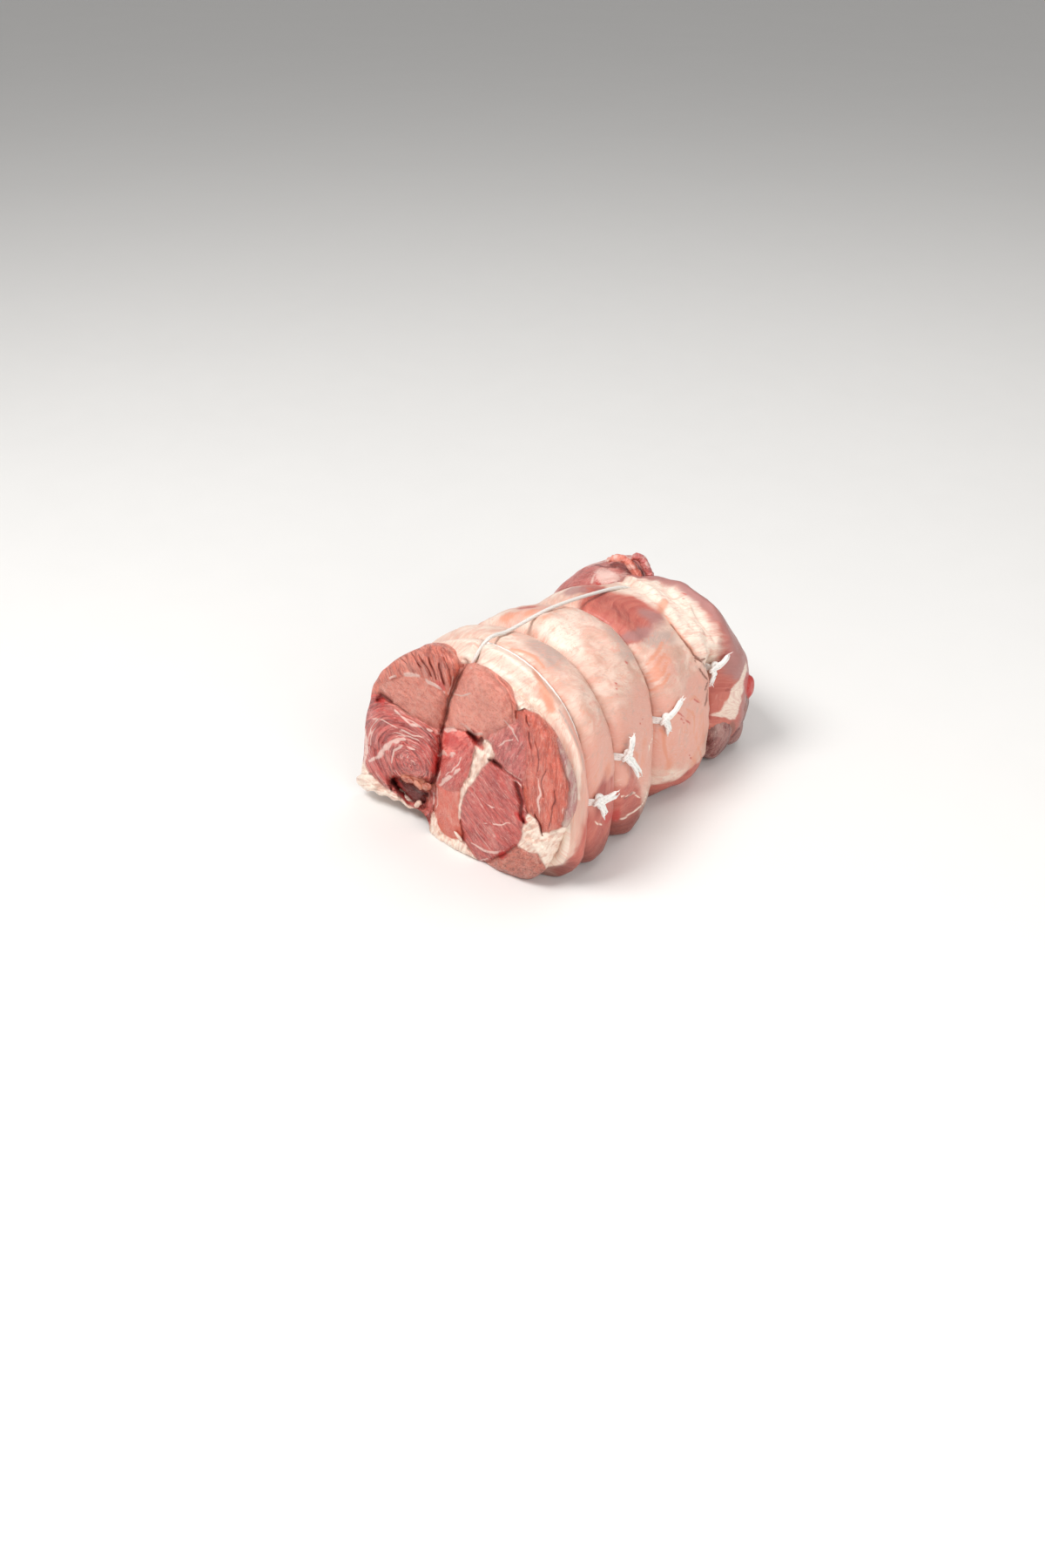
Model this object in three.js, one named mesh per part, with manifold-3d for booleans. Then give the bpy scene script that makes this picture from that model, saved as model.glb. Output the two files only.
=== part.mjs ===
// Raw rolled lamb shoulder, tied with four loops of twine and one string lengthwise.
// Millimetres. Z is up and Z = 0 is the ground it rests on. The roll lies along Y: the cut face
// looks to -Y, the shank end to +Y, and the knots are on the +X side.
import * as THREE from "three";
import { mergeVertices } from "three/addons/utils/BufferGeometryUtils.js";
import Module from "manifold-3d";

const wasm = await Module();
wasm.setup();

// ---- driving sizes ---------------------------------------------------------------------
const SHIFT_X = -9.6; // brings the middle of the finished part's width over X = 0
const SHIFT_Y = -0.4; // and the middle of its length over Y = 0
const TWINE = 1.8; // diameter of the butcher's twine
const GAP = 0.3; // air left between the twine and the meat
const AROUND = 48; // steps round the roll
const EVEN_ROW = -28; // section that the steps are shared out on
const FACE_Y = -85; // plane of the fat behind the cut muscles
const TAIL_Y = 90; // far end
const CREASE_FLAT = 1.3; // half width of the bottom of a crease, where the twine lies
const CREASE_WIDE = 4.2; // how fast a bulge falls into the crease of a loop

// Sections of the roll, without the creases: widest to the left and right, top, the X of the
// highest point, the Z of the widest point and the underside before it is flattened.
const sections = [
  { y: -86, left: -48, right: 69, top: 95, lean: 12, waist: 42, sink: -1 },
  { y: -79, left: -50, right: 75, top: 101.5, lean: 13, waist: 42, sink: -3 },
  { y: -60, left: -47, right: 70, top: 101, lean: 13, waist: 44, sink: -3.5 },
  { y: -28, left: -43, right: 65.5, top: 98, lean: 12, waist: 43, sink: -3.5 },
  { y: 14, left: -40, right: 65, top: 91, lean: 11, waist: 41, sink: -3.5 },
  { y: 42, left: -39, right: 64, top: 84, lean: 11, waist: 40, sink: -3.5 },
  { y: 62, left: -37, right: 65, top: 78, lean: 11, waist: 38, sink: -3 },
  { y: 78, left: -32, right: 58, top: 68, lean: 9, waist: 34, sink: 0 },
  { y: 90, left: -24, right: 44, top: 55, lean: 8, waist: 30, sink: 6 },
];
// How square the section is in each quarter: 2 is an ellipse, more is squarer.
const CORNERS = { topRight: 2.2, topLeft: 1.9, lowLeft: 3.0, lowRight: 4.4 };

// The four loops: where each one lies, how far it leans along Y from the underside to the
// top, how deep it pulls in at the top, the right, the left and below, and where the knot is.
const loops = [
  { name: "string_loop_1", y: -71, lean: 1.5, top: 3.5, right: 7.5, left: 5, below: 5 },
  { name: "string_loop_2", y: -46, lean: -1, top: 8, right: 6, left: 5, below: 5 },
  { name: "string_loop_3", y: -9, lean: 1.5, top: 4.5, right: 7.5, left: 5, below: 5 },
  { name: "string_loop_4", y: 41, lean: 1, top: 5.5, right: 9, left: 5, below: 5 },
];

// The knots: height on the right side, how far each stands from its crease outwards and
// along Y, and the ends of its two tails measured from the knot.
const knots = [
  { z: 40, out: 5, along: 4.5, tails: [[4, 8, 1.5], [2, 2.5, -7.5]] },
  { z: 50, out: 5, along: 3.5, tails: [[1, 2, 9.8], [3, 6, -11]] },
  { z: 50, out: 5.5, along: 3.5, tails: [[3, 8.5, 8], [1, 2, -7]] },
  { z: 56, out: 6.5, along: 0.5, tails: [[3, 7.5, 4.8], [0.5, -2.5, -6.5]] },
];

// Swellings and hollows of the skin side: place along Y and round the roll (degrees from the
// right, over the top), reach in both, and height.
const swellings = [
  { y: -58, at: -40, along: 10, round: 17, high: 4 }, // low muscle behind loop 1
  { y: -90, at: -44, along: 12, round: 20, high: -5 },
  { y: -32, at: -42, along: 13, round: 18, high: 5 }, // low muscle behind loop 2
  { y: 18, at: -26, along: 16, round: 16, high: 3 }, // lumpy fat behind loop 3
  { y: 12, at: 96, along: 16, round: 20, high: 2 }, // red muscle on top
  { y: -28, at: 60, along: 14, round: 22, high: 1.5 },
  { y: 54, at: 72, along: 8, round: 42, high: 7 }, // thick band of fat behind loop 4
  { y: -90, at: -125, along: 13, round: 36, high: -9 }, // underside of the left lobe, lifted
  { y: 8, at: 150, along: 20, round: 22, high: -2 },
  { y: -35, at: 165, along: 16, round: 18, high: 1.5 },
];

// ---- helpers ---------------------------------------------------------------------------
const rad = (deg) => (deg * Math.PI) / 180;
const gauss = (x) => Math.exp(-x * x);
const signedPower = (v, p) => Math.sign(v) * Math.abs(v) ** p;

function smoothTable(rows, key, y) {
  if (y <= rows[0].y) return rows[0][key];
  const last = rows.length - 1;
  if (y >= rows[last].y) return rows[last][key];
  let i = 0;
  while (rows[i + 1].y < y) i += 1;
  const t = (y - rows[i].y) / (rows[i + 1].y - rows[i].y);
  const p0 = rows[Math.max(i - 1, 0)][key];
  const p1 = rows[i][key];
  const p2 = rows[i + 1][key];
  const p3 = rows[Math.min(i + 2, last)][key];
  const bend = 2 * p1 + (p2 - p0) * t;
  return 0.5 * (bend + (2 * p0 - 5 * p1 + 4 * p2 - p3) * t * t + (3 * p1 - p0 - 3 * p2 + p3) * t ** 3);
}

function pullAt(loop, theta) {
  const up = Math.sin(theta);
  const side = Math.cos(theta);
  const tall = up > 0 ? loop.top : loop.below;
  const wide = side > 0 ? loop.right : loop.left;
  return tall * up * up + wide * side * side;
}

function loopY(loop, theta) {
  return loop.y + loop.lean * Math.sin(theta) + 0.8 * Math.sin(2 * theta + loop.y);
}

// How far the rows of the skin wander along Y so that they follow the creases.
function wander(y, theta) {
  let shift = 0;
  let weight = 0.2;
  for (const loop of loops) {
    const near = gauss((y - loop.y) / 12);
    shift += near * (loopY(loop, theta) - loop.y);
    weight += near;
  }
  return shift / weight;
}

// The cut face leans: the right lobe and the foot stand nearer than the left lobe.
function faceAt(x, z) {
  const toRight = 1 / (1 + Math.exp(-(x - 2) / 6));
  return FACE_Y - 3 * toRight - 2.5 * toRight * (1 - z / 90);
}

// A point of the skin: row is the place along Y before the rows wander.
function skin(row, theta, lift = 0) {
  const s = {};
  for (const key of ["left", "right", "top", "lean", "waist", "sink"]) {
    s[key] = smoothTable(sections, key, row);
  }
  const c = Math.cos(theta);
  const u = Math.sin(theta);
  const corner = CORNERS[(u > 0 ? "top" : "low") + (c > 0 ? "Right" : "Left")];
  const wide = c > 0 ? s.right - s.lean : s.lean - s.left;
  const tall = u > 0 ? s.top - s.waist : s.waist - s.sink;
  let x = s.lean + wide * signedPower(c, 2 / corner);
  let z = s.waist + tall * signedPower(u, 2 / corner);
  let out = lift;
  for (const loop of loops) {
    const away = Math.max(0, Math.abs(row - loop.y) - CREASE_FLAT);
    out -= pullAt(loop, theta) * Math.exp(-away / CREASE_WIDE);
  }
  for (const w of swellings) {
    const away = ((theta * 180) / Math.PI - w.at + 540) % 360 - 180;
    out += w.high * gauss((row - w.y) / w.along) * gauss(away / w.round);
  }
  out += 0.7 * Math.sin(3 * theta + row * 0.11) + 0.5 * Math.sin(5 * theta - row * 0.17);
  const dx = x - s.lean;
  const dz = z - s.waist;
  const far = Math.hypot(dx, dz);
  x += (out * dx) / far;
  z += (out * dz) / far;
  const front = (faceAt(x, z) - FACE_Y) * Math.exp(-(row + 86) / 9);
  return [x, row + wander(row, theta) + front, z];
}

// Angles round the roll that share out its length evenly.
function evenTurns(count) {
  const fine = 720;
  const walk = [0];
  let last = skin(EVEN_ROW, 0);
  for (let k = 1; k <= fine; k += 1) {
    const p = skin(EVEN_ROW, (2 * Math.PI * k) / fine);
    walk.push(walk[k - 1] + Math.hypot(p[0] - last[0], p[2] - last[2]));
    last = p;
  }
  const turns = [];
  let k = 0;
  for (let i = 0; i < count; i += 1) {
    const goal = (walk[fine] * i) / count;
    while (walk[k + 1] < goal) k += 1;
    turns.push((2 * Math.PI * (k + (goal - walk[k]) / (walk[k + 1] - walk[k]))) / fine);
  }
  return turns;
}
const TURNS = evenTurns(AROUND);

function solid(points, faces) {
  const geometry = new THREE.BufferGeometry();
  geometry.setAttribute("position", new THREE.Float32BufferAttribute(points.flat(), 3));
  geometry.setIndex(faces.flat());
  return solidFrom(geometry);
}

function solidFrom(geometry) {
  const bare = geometry.clone();
  bare.deleteAttribute("normal");
  bare.deleteAttribute("uv");
  const merged = mergeVertices(bare, 1e-4);
  const made = new wasm.Manifold(
    new wasm.Mesh({
      numProp: 3,
      vertProperties: new Float32Array(merged.attributes.position.array),
      triVerts: new Uint32Array(merged.index.array),
    }),
  );
  if (made.volume() > 0) return made;
  const index = merged.index.array;
  for (let i = 0; i < index.length; i += 3) [index[i + 1], index[i + 2]] = [index[i + 2], index[i + 1]];
  return new wasm.Manifold(
    new wasm.Mesh({
      numProp: 3,
      vertProperties: new Float32Array(merged.attributes.position.array),
      triVerts: new Uint32Array(index),
    }),
  );
}

// Closed skin over rings of equal count, with one point at each end.
function loft(rings, first, last) {
  const n = rings[0].length;
  const points = [first, ...rings.flat(), last];
  const faces = [];
  for (let k = 0; k < n; k += 1) faces.push([0, 1 + k, 1 + ((k + 1) % n)]);
  for (let r = 0; r + 1 < rings.length; r += 1) {
    for (let k = 0; k < n; k += 1) {
      const a = 1 + r * n + k;
      const b = 1 + r * n + ((k + 1) % n);
      faces.push([a, a + n, b], [b, a + n, b + n]);
    }
  }
  const end = points.length - 1;
  const base = 1 + (rings.length - 1) * n;
  for (let k = 0; k < n; k += 1) faces.push([base + k, end, base + ((k + 1) % n)]);
  return solid(points, faces);
}

// ---- the rolled body -------------------------------------------------------------------
function rowPlaces() {
  const places = [-86, -83.5, -80, -76.5];
  loops.forEach((loop, i) => {
    const next = i + 1 < loops.length ? loops[i + 1].y : 70;
    const span = next - loop.y;
    places.push(loop.y - CREASE_FLAT, loop.y + CREASE_FLAT, loop.y + 3.6, loop.y + 7);
    const inner = Math.max(1, Math.round((span - 14) / 9));
    for (let k = 1; k < inner; k += 1) places.push(loop.y + 7 + ((span - 14) * k) / inner);
    if (i + 1 < loops.length) places.push(next - 7, next - 3.6);
  });
  places.push(72, 78, 83, 87, 90);
  return places;
}

function rolledBody() {
  const ring = (row, shrink = 1, end = null) => {
    const out = [];
    for (const theta of TURNS) {
      const p = skin(row, theta);
      const x = 10 + (p[0] - 10) * shrink;
      const z = 42 + (p[2] - 42) * shrink;
      out.push([x, end === null ? p[1] : end(x, z), Math.max(z, 0)]);
    }
    return out;
  };
  const rings = [];
  for (const [shrink, back] of [[0.45, 0], [0.86, 0], [0.955, -2.2]]) {
    rings.push(ring(-86, shrink, (x, z) => faceAt(x, z) + back));
  }
  for (const row of rowPlaces()) rings.push(ring(row));
  for (const [shrink, y] of [[0.85, TAIL_Y + 1.5], [0.55, TAIL_Y + 2.5]]) {
    rings.push(ring(90, shrink, () => y));
  }
  return loft(rings, [8, faceAt(8, 44), 44], [8, TAIL_Y + 3, 32]);
}

// ---- cut muscles -----------------------------------------------------------------------
// A muscle is a swelling along a bent line of [x, z] points: half is its half width, out how
// far it stands in front of the fat, deep its half depth, full how blunt its ends are.
const muscles = [
  // right lobe
  { line: [[2, 72], [20, 82], [39, 87]], half: 18, out: 4, deep: 9, full: 2.8 },
  { line: [[41, 80], [57, 74], [63, 58], [60, 41], [53, 27]], half: 12, out: 3, deep: 8, full: 5 },
  { line: [[35, 48], [37, 64], [42, 80]], half: 12.5, out: 1.5, deep: 7, full: 3 },
  { line: [[21, -7], [28, 25], [36, 56]], half: 21.5, out: 4.5, deep: 11, full: 3 },
  { line: [[-2, 25], [7, 43], [19, 63]], half: 8.5, out: 4, deep: 8, full: 4 },
  { line: [[-6, -9], [-1, 14], [4, 36]], half: 12, out: 2.5, deep: 8, full: 3.5 },
  { line: [[-2, 49], [6, 57], [18, 64]], half: 6.5, out: 3, deep: 7, full: 3 },
  { line: [[21, -4], [41, 3], [58, 10]], half: 10, out: 3.5, deep: 8, full: 3 },
  { line: [[44, 18], [58, 24], [70, 42]], half: 10.5, out: 0.5, deep: 6, full: 3 },
  // left lobe
  { line: [[-39, 65], [-26, 78], [-8, 84], [9, 84]], half: 9.5, out: 3.5, deep: 7, full: 4 },
  { line: [[-41, 65], [-19, 67], [2, 67]], half: 12.5, out: 4, deep: 8, full: 3 },
  { line: [[-54, 35], [-27, 38], [0, 40]], half: 22.5, out: 4, deep: 11, full: 3.2 },
  { line: [[-52, 25], [-49.5, 12], [-37, 9], [-21, 6]], half: 7, out: 3, deep: 8, full: 4 },
  { line: [[-12, 4], [-10, 15], [-8, 27]], half: 5.5, out: 1, deep: 6, full: 3 },
];

// A bent swelling: across(s) gives its line, and its section is an oval of half by deep.
function swelling(line, half, deep, full, steps, sides, place) {
  const curve = new THREE.CatmullRomCurve3(line.map(([a, b]) => new THREE.Vector3(a, b, 0)));
  const rings = [];
  for (let i = 1; i < steps; i += 1) {
    const s = -Math.cos((Math.PI * i) / steps);
    const size = (1 - Math.abs(s) ** full) ** 0.5;
    const t = (s + 1) / 2;
    const at = curve.getPoint(t);
    const way = curve.getTangent(t);
    const ring = [];
    for (let k = 0; k < sides; k += 1) {
      const turn = (2 * Math.PI * k) / sides;
      const across = half * size * signedPower(Math.cos(turn), 0.75);
      const rise = deep * size * signedPower(Math.sin(turn), 0.75);
      ring.push(place(at.x - way.y * across, rise, at.y + way.x * across));
    }
    rings.push(ring);
  }
  const start = curve.getPoint(0);
  const end = curve.getPoint(1);
  return loft(rings, place(start.x, 0, start.y), place(end.x, 0, end.y));
}

function muscle(m) {
  const place = (x, rise, z) => [x, faceAt(x, z) - m.out + m.deep + rise, Math.max(z, 0)];
  return swelling(m.line, m.half, m.deep, m.full, 8, 10, place);
}

// ---- the shank end and the flaps at the far end ------------------------------------------
// A blob turned by its own axes.
function blob(at, size, turnZ, turnY, steps = 7, sides = 11) {
  const shape = new THREE.SphereGeometry(1, sides, steps);
  shape.scale(...size);
  shape.rotateY(rad(turnY));
  shape.rotateZ(rad(turnZ));
  shape.translate(...at);
  return solidFrom(shape);
}

// The shank muscle: a strap that wraps the far end from the left side over the top, with a
// hollow where it was cut.
const SHANK_Y = 62;
function shank() {
  const line = [[-42, 28], [-41, 47], [-30, 61], [-13, 72], [2, 80]];
  const strap = swelling(line, 13, 19, 4, 9, 14, (x, rise, z) => [x, SHANK_Y + rise - 0.06 * x, z]);
  const cup = blob([10, SHANK_Y - 1, 86], [7, 12, 8], 0, -24);
  return strap.subtract(cup);
}

const flaps = [
  { at: [55, 68, 34], size: [11, 13, 24], turnZ: 14, turnY: 0 }, // purple muscle on the right
  { at: [56, 52, 13], size: [8, 11, 13], turnZ: 8, turnY: 10 }, // dark flap below it
  { at: [55, 66, 11], size: [8, 10, 9], turnZ: 20, turnY: 0 },
  { at: [60, 73, 34], size: [4.5, 5, 7], turnZ: 0, turnY: 10 }, // red end that sticks out
  { at: [53, 22, 4.5], size: [6, 8, 5], turnZ: 0, turnY: 0 }, // red strip under loop 3
  { at: [48, 51, 61], size: [12, 8, 13], turnZ: -8, turnY: 30 }, // rounded end of the fat band
];

// ---- twine -----------------------------------------------------------------------------
function tube(points, width, closed, steps) {
  const curve = new THREE.CatmullRomCurve3(points.map((p) => new THREE.Vector3(...p)), closed);
  const sides = 5;
  if (closed) return solidFrom(new THREE.TubeGeometry(curve, steps, width / 2, sides, true));
  const outline = new THREE.Shape();
  for (let k = 0; k < sides; k += 1) {
    const turn = (2 * Math.PI * k) / sides;
    const x = (width / 2) * Math.cos(turn);
    const y = (width / 2) * Math.sin(turn);
    if (k === 0) outline.moveTo(x, y);
    else outline.lineTo(x, y);
  }
  outline.closePath();
  return solidFrom(new THREE.ExtrudeGeometry(outline, { steps, extrudePath: curve, bevelEnabled: false }));
}

const LOW_LOOP = TWINE * 1.5 + 2 * GAP + 0.4; // the loops pass above the long string below

function loopPath(loop) {
  return TURNS.map((theta) => {
    const p = skin(loop.y, theta, TWINE / 2 + GAP + 0.1);
    return [p[0], p[1], Math.max(p[2], LOW_LOOP)];
  });
}

// One loop with its knot: spare thickens it, which gives the room cut for it in the meat.
function tiedLoop(loop, knot, spare) {
  const path = loopPath(loop);
  let base = path[0];
  for (const p of path) {
    if (p[0] > 20 && Math.abs(p[2] - knot.z) < Math.abs(base[2] - knot.z)) base = p;
  }
  const at = [base[0] + knot.out, base[1] + knot.along, base[2]];
  let tied = tube(path, TWINE + spare, true, AROUND);
  const root = [base[0] - 0.5, base[1] - 0.37, base[2] + 0.13];
  tied = tied.add(tube([root, at], TWINE + 0.6 + spare, false, 1));
  const ball = new THREE.SphereGeometry(2.5 + spare / 2, 8, 6);
  ball.translate(...at);
  tied = tied.add(solidFrom(ball));
  for (const [dx, dy, dz] of knot.tails) {
    const bend = [at[0] + dx * 0.45 + 0.8, at[1] + dy * 0.5, at[2] + dz * 0.45];
    const tip = [at[0] + dx, at[1] + dy, at[2] + dz];
    tied = tied.add(tube([at, bend, tip], TWINE + 0.8 + spare, false, 3));
  }
  return tied;
}

// The string lengthwise: down the crease between the two lobes, under the roll, up the far
// end and back over the top, straight from bulge to bulge.
const LOW = TWINE / 2 + 0.1;
function longPath() {
  const top = [-59, -28, 8, 28].map((y) => {
    const p = skin(y, rad(90), 0.6);
    return [12, p[1], p[2]];
  });
  const crease = [[-13.5, -84, 4], [-11, -82, 17], [-4, -81, 34], [-3, -80.5, 50], [0, -80, 64]];
  const crest = [[4, -80, 76], [9, -80.5, 88], [11.5, -79, 96], [12, -71, 101.5]];
  const tail = [[11.5, 45, 82], [11, 56, 80.5], [10.5, 68, 75.5], [10, 80, 67.5], [9, 88.5, 58]];
  const end = [[8.6, 93.2, 46], [8, 93.8, 32], [6, 93.2, 20], [3, 90.4, 7.5], [0.6, 84, 2.8]];
  const under = [[-1.5, 77, LOW + 0.25], [-2.5, 69, LOW], [-4, 45, LOW], [-6, 0, LOW], [-8, -45, LOW], [-10, -68, LOW], [-11, -77, LOW + 0.3]];
  return [...crease, ...crest, ...top, ...tail, ...end, ...under];
}

function longString(spare) {
  return tube(longPath(), TWINE + spare, true, 66);
}

// The open groove it lies in along the underside.
function lowGroove() {
  const way = [[4, 100], [0, 84], [-2, 74], [-4, 45], [-6, 0], [-8, -45], [-11, -77], [-13, -98]];
  const wide = TWINE / 2 + GAP + 0.5;
  const rings = way.map(([x, y]) => {
    return [[-wide, -1], [-wide, 1.4], [0, 2.8], [wide, 1.4], [wide, -1]].map(([w, z]) => [x + w, y, z]);
  });
  return loft(rings, [4, 100, 0.5], [-13, -98, 0.5]);
}

// ---- the deep crease between the lobes ---------------------------------------------------
function lobeCrease() {
  const line = [[14, 104], [12, 96], [7, 84], [2, 74], [0, 64], [-3, 52], [-4, 36], [-11, 17], [-17, -4]];
  const rings = line.map(([x, z], i) => {
    const [ax, az] = line[Math.max(i - 1, 0)];
    const [bx, bz] = line[Math.min(i + 1, line.length - 1)];
    const long = Math.hypot(bx - ax, bz - az);
    const nx = (bz - az) / long;
    const nz = -(bx - ax) / long;
    return [[2.6, -99], [-2.6, -99], [-0.9, -78.5], [0.9, -78.5]].map(([w, y]) => [x + nx * w, y, z + nz * w]);
  });
  const front = loft(rings, [14, -88, 104], [-17, -88, -4]);
  const crests = [-99, -90, -80, -69].map((y, i) => {
    const floor = 91 + i * 3.6;
    return [[9.4, y, 110], [11.2, y, floor], [12.8, y, floor], [14.6, y, 110]];
  });
  return front.add(loft(crests, [12, -99, 100], [12, -69, 106]));
}

const group = new THREE.Group();
export default group;

function addNode(name, shape, colour, roughness) {
  const mesh = shape.getMesh();
  const geometry = new THREE.BufferGeometry();
  geometry.setAttribute("position", new THREE.Float32BufferAttribute(mesh.vertProperties, 3));
  geometry.setIndex(new THREE.BufferAttribute(new Uint32Array(mesh.triVerts), 1));
  geometry.translate(SHIFT_X, SHIFT_Y, 0);
  const flat = geometry.toNonIndexed();
  flat.computeVertexNormals();
  const material = new THREE.MeshStandardMaterial({ color: colour, roughness, metalness: 0 });
  const node = new THREE.Mesh(flat, material);
  node.name = name;
  group.add(node);
}

let meat = rolledBody();
for (const m of muscles) meat = meat.add(muscle(m));
meat = meat.add(shank());
for (const f of flaps) meat = meat.add(blob(f.at, f.size, f.turnZ, f.turnY));
meat = meat.subtract(lobeCrease());
const ground = new THREE.BoxGeometry(400, 400, 40);
ground.translate(0, 0, -20);
meat = meat.subtract(solidFrom(ground));
loops.forEach((loop, i) => {
  meat = meat.subtract(tiedLoop(loop, knots[i], 2 * GAP));
});
meat = meat.subtract(lowGroove());
meat = meat.subtract(longString(2 * GAP));
const pieces = meat.decompose().sort((a, b) => b.volume() - a.volume());

addNode("lamb_roll", pieces[0], 0xc98f83, 0.45);
loops.forEach((loop, i) => addNode(loop.name, tiedLoop(loop, knots[i], 0), 0xf0ebe2, 0.85));
addNode("string_long", longString(0), 0xded8cf, 0.85);
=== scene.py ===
# Raw rolled lamb shoulder: fat cap, cut muscles, shank end and twine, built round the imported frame.
# Shapes are worked out in millimetres, as the solids are, and stored in metres.
import math

import bmesh
import bpy
import numpy as np
from mathutils import Matrix, Vector


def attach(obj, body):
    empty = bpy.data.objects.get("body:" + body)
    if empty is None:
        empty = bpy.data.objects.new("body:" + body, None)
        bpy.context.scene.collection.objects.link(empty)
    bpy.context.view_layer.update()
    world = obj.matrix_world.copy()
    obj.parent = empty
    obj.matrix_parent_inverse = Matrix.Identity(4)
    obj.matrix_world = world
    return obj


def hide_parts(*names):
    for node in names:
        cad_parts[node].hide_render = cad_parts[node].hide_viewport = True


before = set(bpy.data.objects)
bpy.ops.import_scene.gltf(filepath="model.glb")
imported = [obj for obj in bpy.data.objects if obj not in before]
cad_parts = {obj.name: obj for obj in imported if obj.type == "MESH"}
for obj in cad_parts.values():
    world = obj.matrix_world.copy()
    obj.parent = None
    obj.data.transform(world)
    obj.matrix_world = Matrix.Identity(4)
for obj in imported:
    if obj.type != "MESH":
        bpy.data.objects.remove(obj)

bl_info = {
    "name": "Rolled Lamb Shoulder",
    "version": (1, 0, 0),
    "blender": (4, 5, 0),
    "location": "View3D > Sidebar > Lamb",
    "description": "A raw lamb shoulder, rolled and tied with butcher's twine",
    "category": "Object",
}

MM = 0.001
SHIFT = np.array([-9.6, -0.4, 0.0])  # from the shape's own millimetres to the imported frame
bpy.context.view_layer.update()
ROOT = "root"

# ---- driving sizes, in millimetres, as in the part's source --------------------------------------
FACE_Y = -85.0  # plane of the fat behind the cut muscles
TAIL_Y = 90.0  # far end
CREASE_FLAT = 0.35  # half width of the bottom of a crease
CREASE_WIDE = 3.6  # how fast a bulge falls into the crease of a loop
SLOT_DEEP = 1.2  # extra depth right under the twine
SLOT_WIDE = 0.9
LOW_LOOP = 3.7  # height of the loops under the roll
LOW_STRING = 1.0  # height of the long string under the roll
CAP_MIDDLE = (10.0, 42.0)  # X and Z that the front cap shrinks to

SECTION_KEYS = ("y", "left", "right", "top", "lean", "waist", "sink")
SECTIONS = np.array([
    (-86, -48, 69.0, 95.0, 12, 42, -1.0),
    (-79, -50, 75.0, 101.5, 13, 42, -3.0),
    (-60, -47, 70.0, 101.0, 13, 44, -3.5),
    (-28, -43, 65.5, 98.0, 12, 43, -3.5),
    (14, -40, 65.0, 91.0, 11, 41, -3.5),
    (42, -39, 64.0, 84.0, 11, 40, -3.5),
    (62, -37, 65.0, 78.0, 11, 38, -3.0),
    (78, -32, 58.0, 68.0, 9, 34, 0.0),
    (90, -24, 44.0, 55.0, 8, 30, 6.0),
])
TOP_RIGHT, TOP_LEFT, LOW_LEFT, LOW_RIGHT = 2.2, 1.9, 3.0, 4.4  # how square each quarter is

# loops: place along Y, lean from the underside to the top, pull at the top, right, left, below
LOOPS = (
    {"y": -71.0, "lean": 1.5, "top": 3.5, "right": 7.5, "left": 5.0, "below": 5.0},
    {"y": -46.0, "lean": -1.0, "top": 8.0, "right": 6.0, "left": 5.0, "below": 5.0},
    {"y": -9.0, "lean": 1.5, "top": 4.5, "right": 7.5, "left": 5.0, "below": 5.0},
    {"y": 41.0, "lean": 1.0, "top": 5.5, "right": 9.0, "left": 5.0, "below": 5.0},
)
# knots: height on the right side, distance out and along, and the two tails measured from it
KNOTS = (
    {"z": 40, "out": 5.0, "along": 4.5, "tails": ((4, 8, 1.5), (2, 2.5, -7.5))},
    {"z": 50, "out": 5.0, "along": 3.5, "tails": ((1, 2, 9.8), (3, 6, -11))},
    {"z": 50, "out": 5.5, "along": 3.5, "tails": ((3, 8.5, 8), (1, 2, -7))},
    {"z": 56, "out": 6.5, "along": 0.5, "tails": ((3, 7.5, 4.8), (0.5, -2.5, -6.5))},
)
# swellings of the skin: place along Y, angle round the roll, reach in both, height
SWELLINGS = (
    (-58, -40, 10, 17, 4), (-90, -44, 12, 20, -5), (-32, -42, 13, 18, 5), (18, -26, 16, 16, 3),
    (12, 96, 16, 20, 2), (-28, 60, 14, 22, 1.5), (54, 72, 8, 42, 7), (-90, -125, 13, 36, -9),
    (8, 150, 20, 22, -2), (-35, 165, 16, 18, 1.5),
)


# ---- small maths ---------------------------------------------------------------------------------
def gauss(x):
    return np.exp(-x * x)


def signed_power(value, power):
    return np.sign(value) * np.abs(value) ** power


def ease(low, high, x):
    t = np.clip((x - low) / (high - low), 0, 1)
    return t * t * (3 - 2 * t)


def lumps(points, size, seed=0):
    """Smooth noise between -1 and 1 whose lumps are about size across."""
    place = np.asarray(points, float) / size + 11.7 * seed
    cell = np.floor(place).astype(np.int64)
    t = place - cell
    t = t * t * (3 - 2 * t)
    total = np.zeros(len(place))
    for corner in range(8):
        step = np.array([corner & 1, corner >> 1 & 1, corner >> 2 & 1])
        at = cell + step
        mixed = at[:, 0] * 73856093 ^ at[:, 1] * 19349663 ^ at[:, 2] * 83492791 ^ (seed + 1) * 2971
        mixed = (mixed ^ mixed >> 13) * 1274126177 & 0x7FFFFFFF
        mixed = (mixed ^ mixed >> 15) * 668265263 & 0x7FFFFFFF
        weight = np.prod(np.where(step == 1, t, 1 - t), axis=1)
        total += weight * (mixed / 0x3FFFFFFF - 1)
    return total


def lumps_each(points, size, seeds):
    """One column of smooth noise for each seed."""
    return np.stack([lumps(points, size, seed) for seed in seeds], -1)


def turn_from(middle, degrees):
    """Degrees from an angle to others, the short way round."""
    return (degrees - middle + 540) % 360 - 180


def unit_rows(vectors):
    """The directions of an array of vectors."""
    return vectors / np.linalg.norm(vectors, axis=1)[:, None]


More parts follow.
